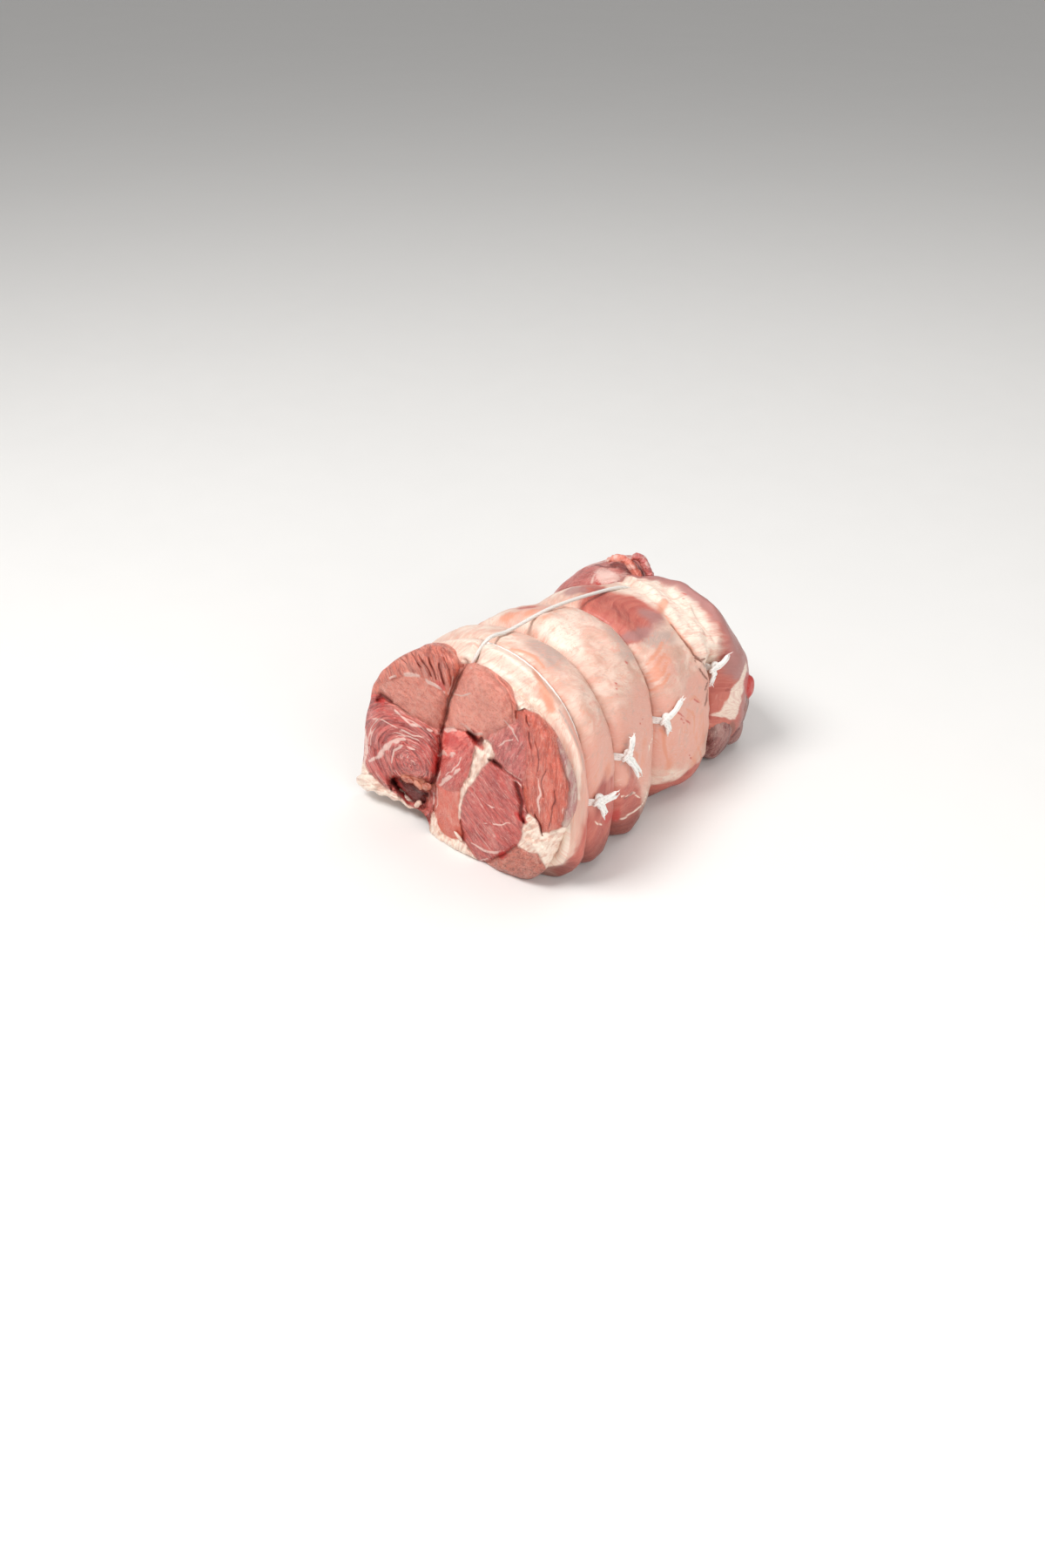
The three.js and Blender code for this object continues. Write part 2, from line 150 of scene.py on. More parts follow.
def smooth_line(points, t, closed=False):
    """Points and directions at t (0 to 1) on a centripetal Catmull-Rom line."""
    ctrl = np.asarray(points, float)
    n = len(ctrl)
    spans = n if closed else n - 1
    u = np.clip(np.asarray(t, float), 0, 1) * spans
    i = np.minimum(u.astype(int), spans - 1)
    w = (u - i)[:, None]
    if closed:
        p0, p1, p2, p3 = (ctrl[(i + k) % n] for k in (-1, 0, 1, 2))
    else:
        longer = np.vstack([2 * ctrl[0] - ctrl[1], ctrl, 2 * ctrl[-1] - ctrl[-2]])
        p0, p1, p2, p3 = (longer[i + k] for k in (0, 1, 2, 3))
    d0, d1, d2 = (np.maximum(((b - a) ** 2).sum(1)[:, None] ** 0.25, 1e-4)
                  for a, b in ((p0, p1), (p1, p2), (p2, p3)))
    m1 = ((p1 - p0) / d0 - (p2 - p0) / (d0 + d1) + (p2 - p1) / d1) * d1
    m2 = ((p2 - p1) / d1 - (p3 - p1) / (d1 + d2) + (p3 - p2) / d2) * d1
    c2 = -3 * p1 + 3 * p2 - 2 * m1 - m2
    c3 = 2 * p1 - 2 * p2 + m1 + m2
    at = p1 + m1 * w + c2 * w ** 2 + c3 * w ** 3
    way = m1 + 2 * c2 * w + 3 * c3 * w ** 2
    return at, unit_rows(way)


def line_distance(points, line):
    """Distance of each 2-D point to a bent line, and how far along the line (0 to 1) it is."""
    line = np.asarray(line, float)
    best = np.full(len(points), 1e9)
    along = np.zeros(len(points))
    for k in range(len(line) - 1):
        a, step = line[k], line[k + 1] - line[k]
        t = np.clip((points - a) @ step / (step @ step), 0, 1)
        far = np.linalg.norm(points - a - t[:, None] * step, axis=1)
        nearer = far < best
        best = np.where(nearer, far, best)
        along = np.where(nearer, (k + t) / (len(line) - 1), along)
    return best, along


def outline_distance(points, outline):
    """Distance of each point to a closed outline, less than nothing inside it."""
    ring = np.vstack([outline, outline[:1]]).astype(float)
    far, _ = line_distance(points, ring)
    inside = np.zeros(len(points), bool)
    for (x0, z0), (x1, z1) in zip(ring[:-1], ring[1:]):
        if z0 == z1:
            continue
        crosses = (points[:, 1] > z0) != (points[:, 1] > z1)
        inside ^= crosses & (points[:, 0] < x0 + (points[:, 1] - z0) * (x1 - x0) / (z1 - z0))
    return np.where(inside, -far, far)


VIEWER = np.array([388.0, -520.0, 400.0])  # the camera's place, from which the marks are seen


def seen(points, plane):
    """X and Z at which points are seen on a plane of one Y from the viewer's place."""
    nearer = ((plane - VIEWER[1]) / (points[:, 1] - VIEWER[1]))[:, None]
    return VIEWER[[0, 2]] + (points[:, [0, 2]] - VIEWER[[0, 2]]) * nearer


def placed(at, plane, y):
    """The inverse of seen: points at y that are seen at the given X and Z of the plane."""
    at, y = np.asarray(at, float), np.asarray(y, float)
    further = ((y - VIEWER[1]) / (plane - VIEWER[1]))[..., None]
    flat = VIEWER[[0, 2]] + (at - VIEWER[[0, 2]]) * further
    return np.stack([flat[..., 0], y + 0 * flat[..., 0], flat[..., 1]], -1)


# ---- the skin of the roll ------------------------------------------------------------------------
def section(key, y):
    """A size of the section at y, by a Catmull-Rom line through the table."""
    rows = SECTIONS[:, 0]
    values = SECTIONS[:, SECTION_KEYS.index(key)]
    y = np.clip(y, rows[0], rows[-1])
    i = np.clip(np.searchsorted(rows, y, "right") - 1, 0, len(rows) - 2)
    t = (y - rows[i]) / (rows[i + 1] - rows[i])
    p0, p1, p2 = values[np.maximum(i - 1, 0)], values[i], values[i + 1]
    p3 = values[np.minimum(i + 2, len(rows) - 1)]
    return 0.5 * (2 * p1 + (p2 - p0) * t + (2 * p0 - 5 * p1 + 4 * p2 - p3) * t ** 2
                  + (3 * p1 - p0 - 3 * p2 + p3) * t ** 3)


def pull_at(loop, theta):
    """How hard a loop pulls the skin in at an angle round the roll."""
    up, side = np.sin(theta), np.cos(theta)
    tall = np.where(up > 0, loop["top"], loop["below"])
    wide = np.where(side > 0, loop["right"], loop["left"])
    return tall * up ** 2 + wide * side ** 2


def wander(row, theta):
    """How far the rows wander along Y so that they follow the creases."""
    shift, weight = 0.0, 0.2
    for loop in LOOPS:
        near = gauss((row - loop["y"]) / 12)
        shift = shift + near * (loop["lean"] * np.sin(theta) + 0.8 * np.sin(2 * theta + loop["y"]))
        weight = weight + near
    return shift / weight


def face_at(x, z):
    """Y of the cut face: the right lobe and the foot stand nearer than the left lobe."""
    to_right = 1 / (1 + np.exp(-(x - 2) / 6))
    return FACE_Y - 3 * to_right - 2.5 * to_right * (1 - z / 90)


def crease_at(loop, row, theta):
    """How deep the crease of a loop lies in the skin."""
    away = np.maximum(0, np.abs(row - loop["y"]) - CREASE_FLAT)
    return pull_at(loop, theta) * np.exp(-away / CREASE_WIDE)


def skin(row, theta, lift=0.0):
    """Points of the fat side: row is the place along Y before the rows wander."""
    row, theta = np.broadcast_arrays(np.asarray(row, float), np.asarray(theta, float))
    lean, waist = section("lean", row), section("waist", row)
    c, u = np.cos(theta), np.sin(theta)
    corner = np.where(u > 0, np.where(c > 0, TOP_RIGHT, TOP_LEFT),
                      np.where(c > 0, LOW_RIGHT, LOW_LEFT))
    wide = np.where(c > 0, section("right", row) - lean, lean - section("left", row))
    tall = np.where(u > 0, section("top", row) - waist, waist - section("sink", row))
    dx = wide * signed_power(c, 2 / corner)
    dz = tall * signed_power(u, 2 / corner)
    out = lift + 0.7 * np.sin(3 * theta + row * 0.11) + 0.5 * np.sin(5 * theta - row * 0.17)
    for loop in LOOPS:
        out = out - crease_at(loop, row, theta)
    for y, at, along, round_, high in SWELLINGS:
        out = out + high * gauss((row - y) / along) * gauss(turn_from(at, np.degrees(theta)) / round_)
    far = np.hypot(dx, dz)
    x, z = lean + dx * (1 + out / far), waist + dz * (1 + out / far)
    front = (face_at(x, z) - FACE_Y) * np.exp(-(row + 86) / 9)
    return np.stack([x, row + wander(row, theta) + front, z], -1)


def even_turns(count):
    """Angles round the roll that share out its length evenly."""
    fine = np.linspace(0, 2 * math.pi, 2881)
    around = skin(-28, fine)
    steps = np.linalg.norm(np.diff(around[:, [0, 2]], axis=0), axis=1)
    walk = np.concatenate([[0], np.cumsum(steps)])
    return np.interp(np.arange(count) * walk[-1] / count, walk, fine)


# ---- meshes --------------------------------------------------------------------------------------
def tube_mesh(around, rings, capped):
    """A tube as a bmesh, cut into rings, with the ring of every point and its turn in steps."""
    bm = bmesh.new()
    bmesh.ops.create_cone(bm, cap_ends=capped, cap_tris=capped, segments=around,
                          radius1=1.0, radius2=1.0, depth=2.0)
    upright = [e for e in bm.edges if abs(e.verts[0].co.z - e.verts[1].co.z) > 1]
    bmesh.ops.subdivide_edges(bm, edges=upright, cuts=rings - 2, use_grid_fill=True)
    co = np.array([v.co for v in bm.verts])
    ring = np.round((co[:, 2] + 1) / 2 * (rings - 1)).astype(int)
    step = np.round(np.arctan2(-co[:, 0], co[:, 1]) / (2 * math.pi) * around).astype(int) % around
    return bm, ring, step, np.hypot(co[:, 0], co[:, 1]) < 0.5


def ball_mesh(around, rows):
    """A closed ball as a bmesh, with its unit points in an array: both poles are single points."""
    bm, ring, step, pole = tube_mesh(around, rows - 1, capped=True)
    index = np.where(pole, np.where(ring > 0, rows, 0), ring + 1)
    height, turn = math.pi * index / rows, 2 * math.pi * step / around
    size = np.where(pole, 0, np.sin(height))
    return bm, np.stack([size * np.cos(turn), size * np.sin(turn), -np.cos(height)], -1)


def ring_mesh(steps, sides):
    """A closed ring as a bmesh, with the step of every point and its profile angle in arrays."""
    bm, ring, step, _ = tube_mesh(sides, steps + 1, capped=False)
    bm.verts.ensure_lookup_table()
    first = {int(step[i]): i for i in np.where(ring == 0)[0]}
    last = {int(step[i]): i for i in np.where(ring == steps)[0]}
    bmesh.ops.weld_verts(bm, targetmap={bm.verts[last[k]]: bm.verts[first[k]] for k in first})
    stay = ring < steps
    return bm, ring[stay], 2 * math.pi * step[stay] / sides


def move_points(bm, points):
    """Moves the points of a bmesh to places given in the shape's own millimetres."""
    for vert, place in zip(bm.verts, (points + SHIFT) * MM):
        vert.co = place
    bmesh.ops.recalc_face_normals(bm, faces=bm.faces)


ATTRIBUTE_KINDS = {1: ("FLOAT", "value"), 3: ("FLOAT_VECTOR", "vector"), 4: ("FLOAT_COLOR", "color")}


def finish_piece(name, bm, material, stands_for, marks=None):
    """Turns a bmesh into a piece that rides on the roll; marks are values for its points."""
    mesh = bpy.data.meshes.new(name)
    bm.to_mesh(mesh)
    bm.free()
    for key, values in (marks or {}).items():
        kind, field = ATTRIBUTE_KINDS[np.shape(values)[1] if np.ndim(values) == 2 else 1]
        layer = mesh.attributes.new(key, kind, "POINT")
        layer.data.foreach_set(field, np.ravel(values).astype(np.float32))
    mesh.polygons.foreach_set("use_smooth", np.ones(len(mesh.polygons), bool))
    mesh.materials.append(material)
    piece = bpy.data.objects.new(name, mesh)
    bpy.context.scene.collection.objects.link(piece)
    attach(piece, ROOT)
    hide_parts(*stands_for)


def join_meshes(parts):
    """One bmesh out of several."""
    whole = bmesh.new()
    for part in parts:
        mesh = bpy.data.meshes.new("part")
        part.to_mesh(mesh)
        part.free()
        whole.from_mesh(mesh)
        bpy.data.meshes.remove(mesh)
    return whole


# ---- marks on the cut face and on the fat side ---------------------------------------------------
# On the cut face, for each kind: half width, height of the relief, and the line in X and Z.
FACE_MARKS = {
    "fat": (
        (1.2, 0.3, ((-31, 75.5), (-26, 78.5), (-20, 81), (-14, 82.2), (-8, 82.2), (3, 81))),
        (0.9, 0.6, ((-29, 59), (-25, 57), (-20, 55.8), (-14, 56.2), (-9, 57.2), (-2, 58))),
        (0.45, 0.2, ((-44, 50), (-37, 51.6), (-28, 50.4), (-17, 50.2), (-8, 52))),
        (0.4, 0.1, ((-30, 47), (-20, 48.6), (-10, 48))),
        (1.3, 0.4, ((-47, 26), (-41, 29.5), (-37, 36), (-32, 41.5), (-24, 46))),
        (0.5, 0.2, ((-33, 30), (-31, 37), (-26, 42), (-18, 43))),
        (0.9, 0.4, ((-48.5, 44), (-49, 36), (-49.5, 29), (-51, 22))),
        (0.35, 0.15, ((9, 82), (14, 83), (17, 84.5), (22, 87))),
        (0.35, 0.15, ((17, 84.5), (19, 83), (20, 81))),
        (1.0, 0.3, ((13, 69.5), (17, 68), (21, 66.8), (26, 69))),
        (1.3, 0.5, ((-3, 57), (0, 60), (5, 62.5), (10, 64.5), (16, 66.5))),
        (1.2, 0.6, ((-2, 46), (2, 49), (7, 50.5), (9, 52))),
        (0.9, 0.5, ((-2, 31), (3, 36), (8, 41), (12, 46))), (0.35, 0.2, ((3, 38), (9, 45), (14, 53))),
        (0.35, 0.1, ((26, 23.6), (33, 26), (42, 29.5))),
        (0.6, 0.2, ((20, 10), (27, 9.6), (33, 11), (39, 13.5))),
        (0.35, 0.1, ((25, 36), (31, 34), (38, 35.5))),
        (0.5, 0.2, ((53, 60), (57, 58), (58, 51), (57, 45), (58, 40))),
        (0.4, 0.2, ((38, 80), (43, 77), (46, 72))), (0.4, 0.2, ((34, 66), (38, 70), (43, 72))),
    ),
    # clefts are dented, and their colour is painted shade
    "cleft": (
        (1.7, -3.2, ((18, 66), (21, 65.5), (24, 63.5), (26, 66.5))),
        (1.2, -2.2, ((-40, 61), (-37, 64.5), (-31, 64))),
        (0.4, -0.6, ((-37, 63.4), (-28, 62.6), (-20, 60))),
        (1.0, -1.8, ((30, 57), (33, 57.6), (36.5, 56))),
        (1.0, -2.0, ((45, 52), (47.5, 44), (48.5, 36), (50, 33))), (0.5, -1.0, ((51, 79), (52.2, 72))),
        (0.4, -0.8, ((50, 86), (51.5, 82))), (0.35, -0.6, ((60, 64), (58.5, 58), (59.5, 50))),
        (0.35, -0.6, ((66, 56), (65, 47), (62.5, 36))), (0.6, -1.2, ((56, 40), (58, 36), (60, 31))),
        (0.35, -0.5, ((55, 76), (57, 68), (56, 62))),
        (2.6, -6.0, ((-33, 20), (-28, 17.5), (-23, 15.5), (-15, 18.5))),
        (1.0, -2.0, ((-13, 19), (-12, 12), (-10.5, 6))),
        (0.5, -0.9, ((-18, 93.5), (-14, 89.5), (-11, 87.5))),
        (0.6, -1.1, ((-12, 93.5), (-8, 89), (-5, 85.5))), (0.5, -0.9, ((-6, 94), (-3, 89), (-2, 85))),
        (0.5, -0.8, ((0, 93), (2, 89), (3, 85))), (0.4, -0.7, ((-25, 89), (-21, 85.5))),
        (0.4, -0.6, ((3, 97), (7, 93), (8, 89))),
    ),
    "blood": (
        (2.0, 0.0, ((-1, 83.5), (2, 82))), (2.6, 0.0, ((-2, 46), (-5, 36))),
        (2.4, 0.0, ((-32, 22), (-24, 13))), (2.2, 0.0, ((20, 67), (25, 62))),
        (3.0, 0.0, ((4, 56), (10, 60))), (1.8, 0.0, ((36, 11), (40, 12))),
        (2.0, 0.0, ((46, 36), (50, 34))), (2.0, 0.0, ((-38, 63), (-37, 60))),
    ),
}


def raise_mark(marks, kind, values):
    """Keeps the larger of a mark's old and new values at every point."""
    marks[kind] = np.maximum(marks[kind], values)


def stroke(points, line, half, thin):
    """How much of a line lies on each point: it is blurred, and thinner towards both ends."""
    far, along = line_distance(points, line)
    taper = thin + (1 - thin) * np.sin(math.pi * np.clip(along, 0.04, 0.96)) ** 0.5
    return gauss(far / (1.25 * half * taper))


def face_marks(x, z):
    """Values and relief of the marks of the cut face at points in its plane."""
    flat = np.stack([x, z, 0 * x], -1)
    bent = flat[:, :2] + 0.8 * lumps_each(flat, 4, (3, 4))
    broken = np.clip(0.75 + 0.7 * lumps(flat, 3.2, 19), 0.1, 1)
    marks = {kind: np.zeros(len(x)) for kind in FACE_MARKS}
    relief = np.zeros(len(x))
    for kind, lines in FACE_MARKS.items():
        for half, high, line in lines:
            shape = stroke(bent, line, half, 0.45) * (broken if kind == "fat" else 1)
            raise_mark(marks, kind, shape)
            relief += high * shape
    return marks, relief


# Patches of the fat side, for each kind: place along Y, angle, reach along, reach round, strength.
SKIN_PATCHES = {
    "cream": (
        (-79, 98, 8, 16, 1.2), (-79, 77, 7, 13, 1.4), (-62, 112, 7, 16, 0.7), (-38, 75, 8, 10, 1.3),
        (-40, 60, 4, 10, 0.5), (-38, 118, 8, 8, 0.8), (-24, 80, 6, 6, 0.6), (-63, 87, 4, 6, 0.8),
        (30, 84, 8, 14, 1.2), (34, 48, 5, 16, 1.2), (2, 113, 6, 4, 0.8), (44, 76, 8, 26, 2.2),
        (42, 45, 7, 18, 2.2), (3, -18, 9, 6, 0.8),
    ),
    "rosy": (
        (-60, 8, 11, 22, 0.9), (-28, 12, 18, 18, 0.8), (-75, 12, 5, 20, 1.0), (2, 36, 9, 9, 0.9),
        (8, 2, 18, 14, 1.0), (-20, 20, 6, 16, 0.7), (22, 14, 9, 12, 0.8), (-30, 100, 10, 7, 0.8),
        (-76, 30, 3, 18, 0.9), (-30, 92, 8, 4, 0.6), (30, 10, 5, 14, 0.6), (52, 112, 4, 8, 0.8),
        (-28, 6, 60, 15, 0.9),
    ),
    "orange": (
        (-39, 106, 3.5, 5, 1.3), (-35, 96, 6, 2.6, 1.0), (-36, 86.5, 4.5, 2.2, 0.9), (-18, 88, 4, 5, 0.6),
        (-38, 58, 3, 4, 0.5), (-60, 62, 8, 2.5, 0.4), (-5, 34, 3, 3, 0.9), (4, 39, 4, 2.5, 0.7),
        (24, -4, 4, 5, 0.8), (0, -8, 3, 6, 0.8), (12, 4, 3, 4, 0.8), (18, -14, 4, 5, 0.8),
        (-24, 2, 3, 4, 0.7), (-40, -4, 2, 6, 0.7), (-58, 6, 4, 6, 0.7), (-77, 55, 3, 4, 0.6),
    ),
    "lean": (
        (0, 76, 14, 12, 2.2), (12, 75, 11, 11, 2.0), (-2, 60, 11, 9, 1.5), (17, 66, 7, 6, 1.2),
        (-60, -34, 12, 18, 1.8), (-36, -32, 10, 16, 1.6), (8, -44, 24, 12, 1.8), (-77, -34, 7, 18, 1.5),
        (30, -34, 12, 14, 1.6), (12, 99, 8, 6, 1.4), (18, 96, 4, 4, 1.0), (-27, 106, 5, 6, 1.0),
        (-58, -14, 12, 14, 1.8), (-36, -12, 9, 9, 1.6), (-17, -14, 5, 8, 1.6), (-42, -20, 5, 9, 1.2),
        (-77, -14, 6, 14, 1.4), (0, -38, 10, 10, 1.4), (16, -26, 8, 8, 1.2), (51, 96, 5, 9, 1.8),
        (56, 62, 6, 16, 1.8), (66, 78, 12, 18, 1.8), (62, 34, 14, 18, 1.8), (52, 12, 8, 11, 1.5),
        (50, 0, 8, 10, 1.6), (52, -22, 9, 14, 1.9), (68, -8, 10, 14, 1.7), (80, 20, 12, 40, 1.8),
        (-35, 150, 20, 24, 1.2), (20, 160, 24, 22, 1.1), (66, 140, 18, 50, 1.8), (-66, 165, 12, 18, 0.9),
        (5, 205, 60, 22, 1.1), (75, -60, 14, 50, 1.5),
    ),
    "mauve": (
        (5, 103, 6, 6, 1.5), (2, 56, 11, 5, 1.2), (20, 64, 6, 8, 1.1), (56, 62, 6, 16, 2.2),
        (60, 34, 10, 12, 1.8), (58, 18, 9, 8, 1.3), (74, 4, 14, 30, 1.4), (66, 80, 15, 26, 1.8),
        (52, 100, 6, 14, 1.2), (5, 205, 60, 30, 0.6),
    ),
    "grey": (
        (-56, 70, 7, 9, 1.3), (-62, 66, 5, 14, 0.6), (-18, 60, 4, 7, 0.9), (-16, 47, 4, 4, 0.7),
        (-22, 50, 5, 5, 0.5), (10, 49, 14, 4, 1.2), (5, 88.5, 14, 2, 1.2), (-76, 68, 3, 7, 0.5),
        (58, 34, 5, 7, 1.6), (54, 52, 3, 8, 1.2), (53, 22, 4, 7, 1.1), (48, 107, 3, 4, 1.0),
        (-12, 14, 2, 3, 0.7), (-76, 82, 4, 6, 0.5),
    ),
    "blood": (
        (-22.5, 46, 1.2, 1.4, 0.9), (63.5, 4.5, 3.2, 4.5, 1.6), (-54, -8, 6, 4, 0.9),
        (-43, -18, 2, 7, 1.0), (43, 8, 1.5, 8, 0.7),
    ),
    # painted shade in small folds of the fat side
    "cleft": (
        (56, -14, 3.5, 6, 1.1), (30, 6, 2.6, 3.5, 0.7), (32, 13, 1.4, 2.6, 0.6),
    ),
}
# Lines on the fat side, for each kind: half width, height of the relief, and the line in Y and angle.
SKIN_LINES = {
    "orange": (
        (1.9, 0.2, ((-82, 48), (-80, 57), (-76, 63), (-71, 68))),
        (0.7, 0.3, ((-69.4, 82), (-68.4, 78), (-67.4, 72), (-68, 65))),
        (2.0, 0.3, ((27, 65.5), (31, 67.5), (35, 69.5))),
        (0.8, 0.0, ((28.6, 62), (28, 52), (28.2, 40), (29.6, 33))),
        (1, 0.0, ((-7, 35), (0, 37.5), (6, 41))), (0.8, 0.0, ((-7, 30), (-1, 32), (4, 36))),
        (0.9, 0.0, ((-6, 40), (2, 43), (10, 47))), (0.8, 0.0, ((-8, 26), (-3, 27), (2, 30))),
        (0.7, 0.0, ((10, 8), (15, 4), (17, -2))), (0.7, 0.0, ((13, 12), (18, 11), (22, 6))),
        (0.8, 0.0, ((20, -6), (24, -12), (26, -18))), (0.7, 0.0, ((16, -10), (20, -18))),
        (0.7, 0.0, ((-6, 2), (-2, -4), (0, -10))), (0.7, 0.0, ((-33, 2), (-28, -2))),
    ),
    "cream": (
        (1.0, 0.5, ((-86, 59), (-83.5, 53), (-81.8, 44), (-81.2, 30), (-82.8, 14), (-84, 6))),
        (0.35, 0.1, ((-5, 68), (2, 72), (8, 79))), (0.3, 0.1, ((0, 64), (8, 70), (12, 77))),
        (0.3, 0.1, ((-6, 58), (4, 61), (14, 67))), (0.4, 0.1, ((-20, 0), (-14, 3), (-13, 8))),
    ),
    "grey": (
        (0.8, -0.1, ((-79, 46), (-78, 34), (-78.6, 18))),
    ),
    # dented folds whose colour is painted shade
    "cleft": (
        (0.6, -1.2, ((27.6, 56), (27.3, 50), (27.5, 42), (29, 33), (33, 27), (38, 22))),
        (0.5, -0.7, ((27, 28), (29, 30.5), (32, 28), (35, 29))),
        (0.6, -0.8, ((28, 25), (31, 19), (34, 15))), (0.8, -1.0, ((29, 11), (33, 13))),
        (0.9, -1.0, ((27, 3), (31, 4), (33, 9))), (0.5, -0.9, ((44, -11), (50, -13))),
        (0.4, -0.5, ((-44, -7), (-36, -8), (-30, -7))),
    ),
    "blood": (
        (0.35, 0.0, ((2, 9), (8, 4), (12, 0))), (0.3, 0.0, ((4, 6), (7, 2))),
        (0.25, 0.0, ((-37, 33), (-34, 39))), (0.25, 0.0, ((-37, 8), (-33, 11))),
        (0.3, 0.0, ((14, -8), (16, -12))), (0.25, 0.0, ((-26, 13), (-21, 15))),
        (0.3, 0.0, ((46, 70), (48, 67), (45, 66))), (0.3, 0.0, ((17, 10), (21, 6))),
    ),
    "white": (
        (0.7, 0.4, ((-43, -23), (-36, -21), (-26, -21), (-20, -14))),
        (0.35, 0.1, ((-42, -6), (-32, -8), (-26, -14))), (0.3, 0.0, ((-66, -6), (-58, -12))),
    ),
    "rosy": (
        (0.5, 0.0, ((-8, 24), (-3, 26))), (0.5, 0.0, ((-8, 30), (-4, 31))),
    ),
}
# At the far end, as seen from the viewer's place: kind and outline in X and Z of one plane.
TAIL_PLANE = 50.0
TAIL_PATCHES = (
    ("white", ((53.4, 23.4), (60.2, 29), (64, 37), (65.2, 42.5), (68.2, 48.6), (69.9, 55), (70.3, 60),
               (72.6, 56), (72.2, 46.8), (72.4, 43.5), (71.4, 38), (70.5, 31), (69.4, 26.7),
               (66.5, 25.3), (62, 25))),
    ("blood", ((72, 54), (74, 55.5), (77, 51), (77, 44), (74, 41), (72.3, 45.6))),
)
SKIN_KINDS = ("cream", "rosy", "orange", "lean", "mauve", "grey", "blood", "cleft", "white", "dusk")
ROUND_MM = 0.95  # millimetres round the roll for each degree
BAND_TURNS = (22, 36, 98, 112)  # angles between which the fat band lies over the last loop
BAND_FRONT = 28.8  # place of its front edge along Y
BAND_STEP = 3.2  # height of its front edge


def tail_marks(marks, points, share):
    """Adds the patches seen at the far end to the marks; share says how much at every point."""
    flat = seen(points, TAIL_PLANE) + 0.6 * lumps_each(points, 3, (92, 93))
    for kind, outline in TAIL_PATCHES:
        key = kind if kind in marks else "fat"  # the flaps have no white of their own
        inside = ease(1.0, -1.4, outline_distance(flat, np.array(outline, float)))
        raise_mark(marks, key, (0.95 + 0.3 * lumps(points, 2.5, 94)) * inside * share)


def band_share(degrees):
    """How far the thick fat band lies over the last loop and hides it, at an angle round the roll."""
    return ease(BAND_TURNS[0], BAND_TURNS[1], degrees) * ease(BAND_TURNS[3], BAND_TURNS[2], degrees)


def skin_relief(row, degrees, shaken_row, lean):
    """Height of the lean patches, of the fall behind the last loop and of the thick fat band."""
    last = LOOPS[-1]
    behind = ease(46, 54, row) * ease(76, 64, row)
    fall = (2.6 * ease(5, 25, degrees) * ease(92, 76, degrees)
            - 2.2 * ease(84, 96, degrees) * ease(150, 125, degrees))
    fill = crease_at(last, row, np.radians(degrees)) + SLOT_DEEP * gauss((row - last["y"]) / SLOT_WIDE)
    front_edge = BAND_FRONT + 0.006 * (degrees - 52) ** 2
    step = BAND_STEP * ease(front_edge, front_edge + 3.5, shaken_row) * ease(56, 48, row)
    return band_share(degrees) * (fill + step) + behind * fall - 0.5 * np.clip(lean * 2 - 0.6, 0, 1)


def skin_marks(row, degrees, points):
    """Values and relief of the patches and lines of the fat side, with uneven edges."""
    shake = (1.8, 2.6) * lumps_each(points, 9, (5, 7)) + (0.9, 1.4) * lumps_each(points, 3.5, (6, 8))
    shaken_row, shaken_at = row + shake[:, 0], degrees + shake[:, 1]
    turned = turn_from(0, degrees)
    marks = {kind: np.zeros(len(row)) for kind in SKIN_KINDS}
    for kind, patches in SKIN_PATCHES.items():
        for y, at, along, round_, strength in patches:
            away = turn_from(at, shaken_at)
            marks[kind] += strength * gauss((shaken_row - y) / along) * gauss(away / round_)
    relief = np.zeros(len(row))
    bent = np.stack([row, turned * ROUND_MM], -1) + 0.25 * shake * (1, ROUND_MM)
    for kind, lines in SKIN_LINES.items():
        for half, high, line in lines:
            shape = stroke(bent, np.array(line, float) * (1, ROUND_MM), half, 0.5)
            raise_mark(marks, kind, 1.1 * shape)
            relief += high * shape
    # the lean patch on top begins at the third loop
    marks["lean"] *= 1 - ease(-27, -22, row) * ease(-8.6, -10, row) * ease(28, 40, degrees)
    relief += skin_relief(row, degrees, shaken_row, marks["lean"])
    for kind in SKIN_KINDS:
        marks[kind] = np.clip(marks[kind], 0, 1.5)
    far_right = ease(39, 42, row) * ease(84, 76, row) * ease(-60, -40, turned) * ease(100, 80, turned)
    tail_marks(marks, points, far_right)
    # painted shade low down on the side: it starts higher between the third and the last loop
    start = -10 - 17 * ease(-12, -6, row) * ease(44, 36, row)
    marks["dusk"] = np.maximum(
        ease(start, start - 24, turned) * ease(-125, -95, turned),
        ease(-70, -77, row) * ease(-105, -118, turned) * ease(-178, -168, turned))
    # painted shade along the crease under every loop, except where the fat band hides the last one
    for loop in LOOPS:
        bare = 1 - band_share(degrees) if loop is LOOPS[-1] else 1
        raise_mark(marks, "cleft", bare * gauss(row - loop["y"]))
    return marks, relief


# ---- fat cap -------------------------------------------------------------------------------------
CAP_AROUND = 320  # points round each ring
CAP_RIM = ((0, 11), (0.8, 10), (0.9, 5), (0.95, 3), (1, 4.0))  # how far the front is set back
# the crease between the two lobes in X and Z: on the fat behind the face, and as seen on the face
LOBE_CREASE = ((14, 104), (12, 96), (7, 84), (2, 74), (0, 64), (-3, 52), (-4, 36), (-11, 17), (-17, -4))
SEEN_CREASE = ((18, 101), (12, 91), (9, 84), (5, 74), (2, 64), (-1, 57), (-1, 46), (-4, 35), (-9, 26))
STRING_X = 12.0
CAP_START = -86.0  # row at which the side begins
CAP_RINGS = (29, 216, 14)  # rings of the front cap, the side and the tail cap
NOTCH = (3.0, 7.0)  # how deep the long string cuts into the first rings, behind and at the face
TOP_GROOVE = 0.8  # how deep it lies in the top behind them
RIM_BACK = 5.0  # how far the edge of the fat is rolled back from the face
TAIL_BULGE = 3.0  # how far the tail cap swells out
REST_SOFT = 0.35  # how gently the skin turns into the flat underside


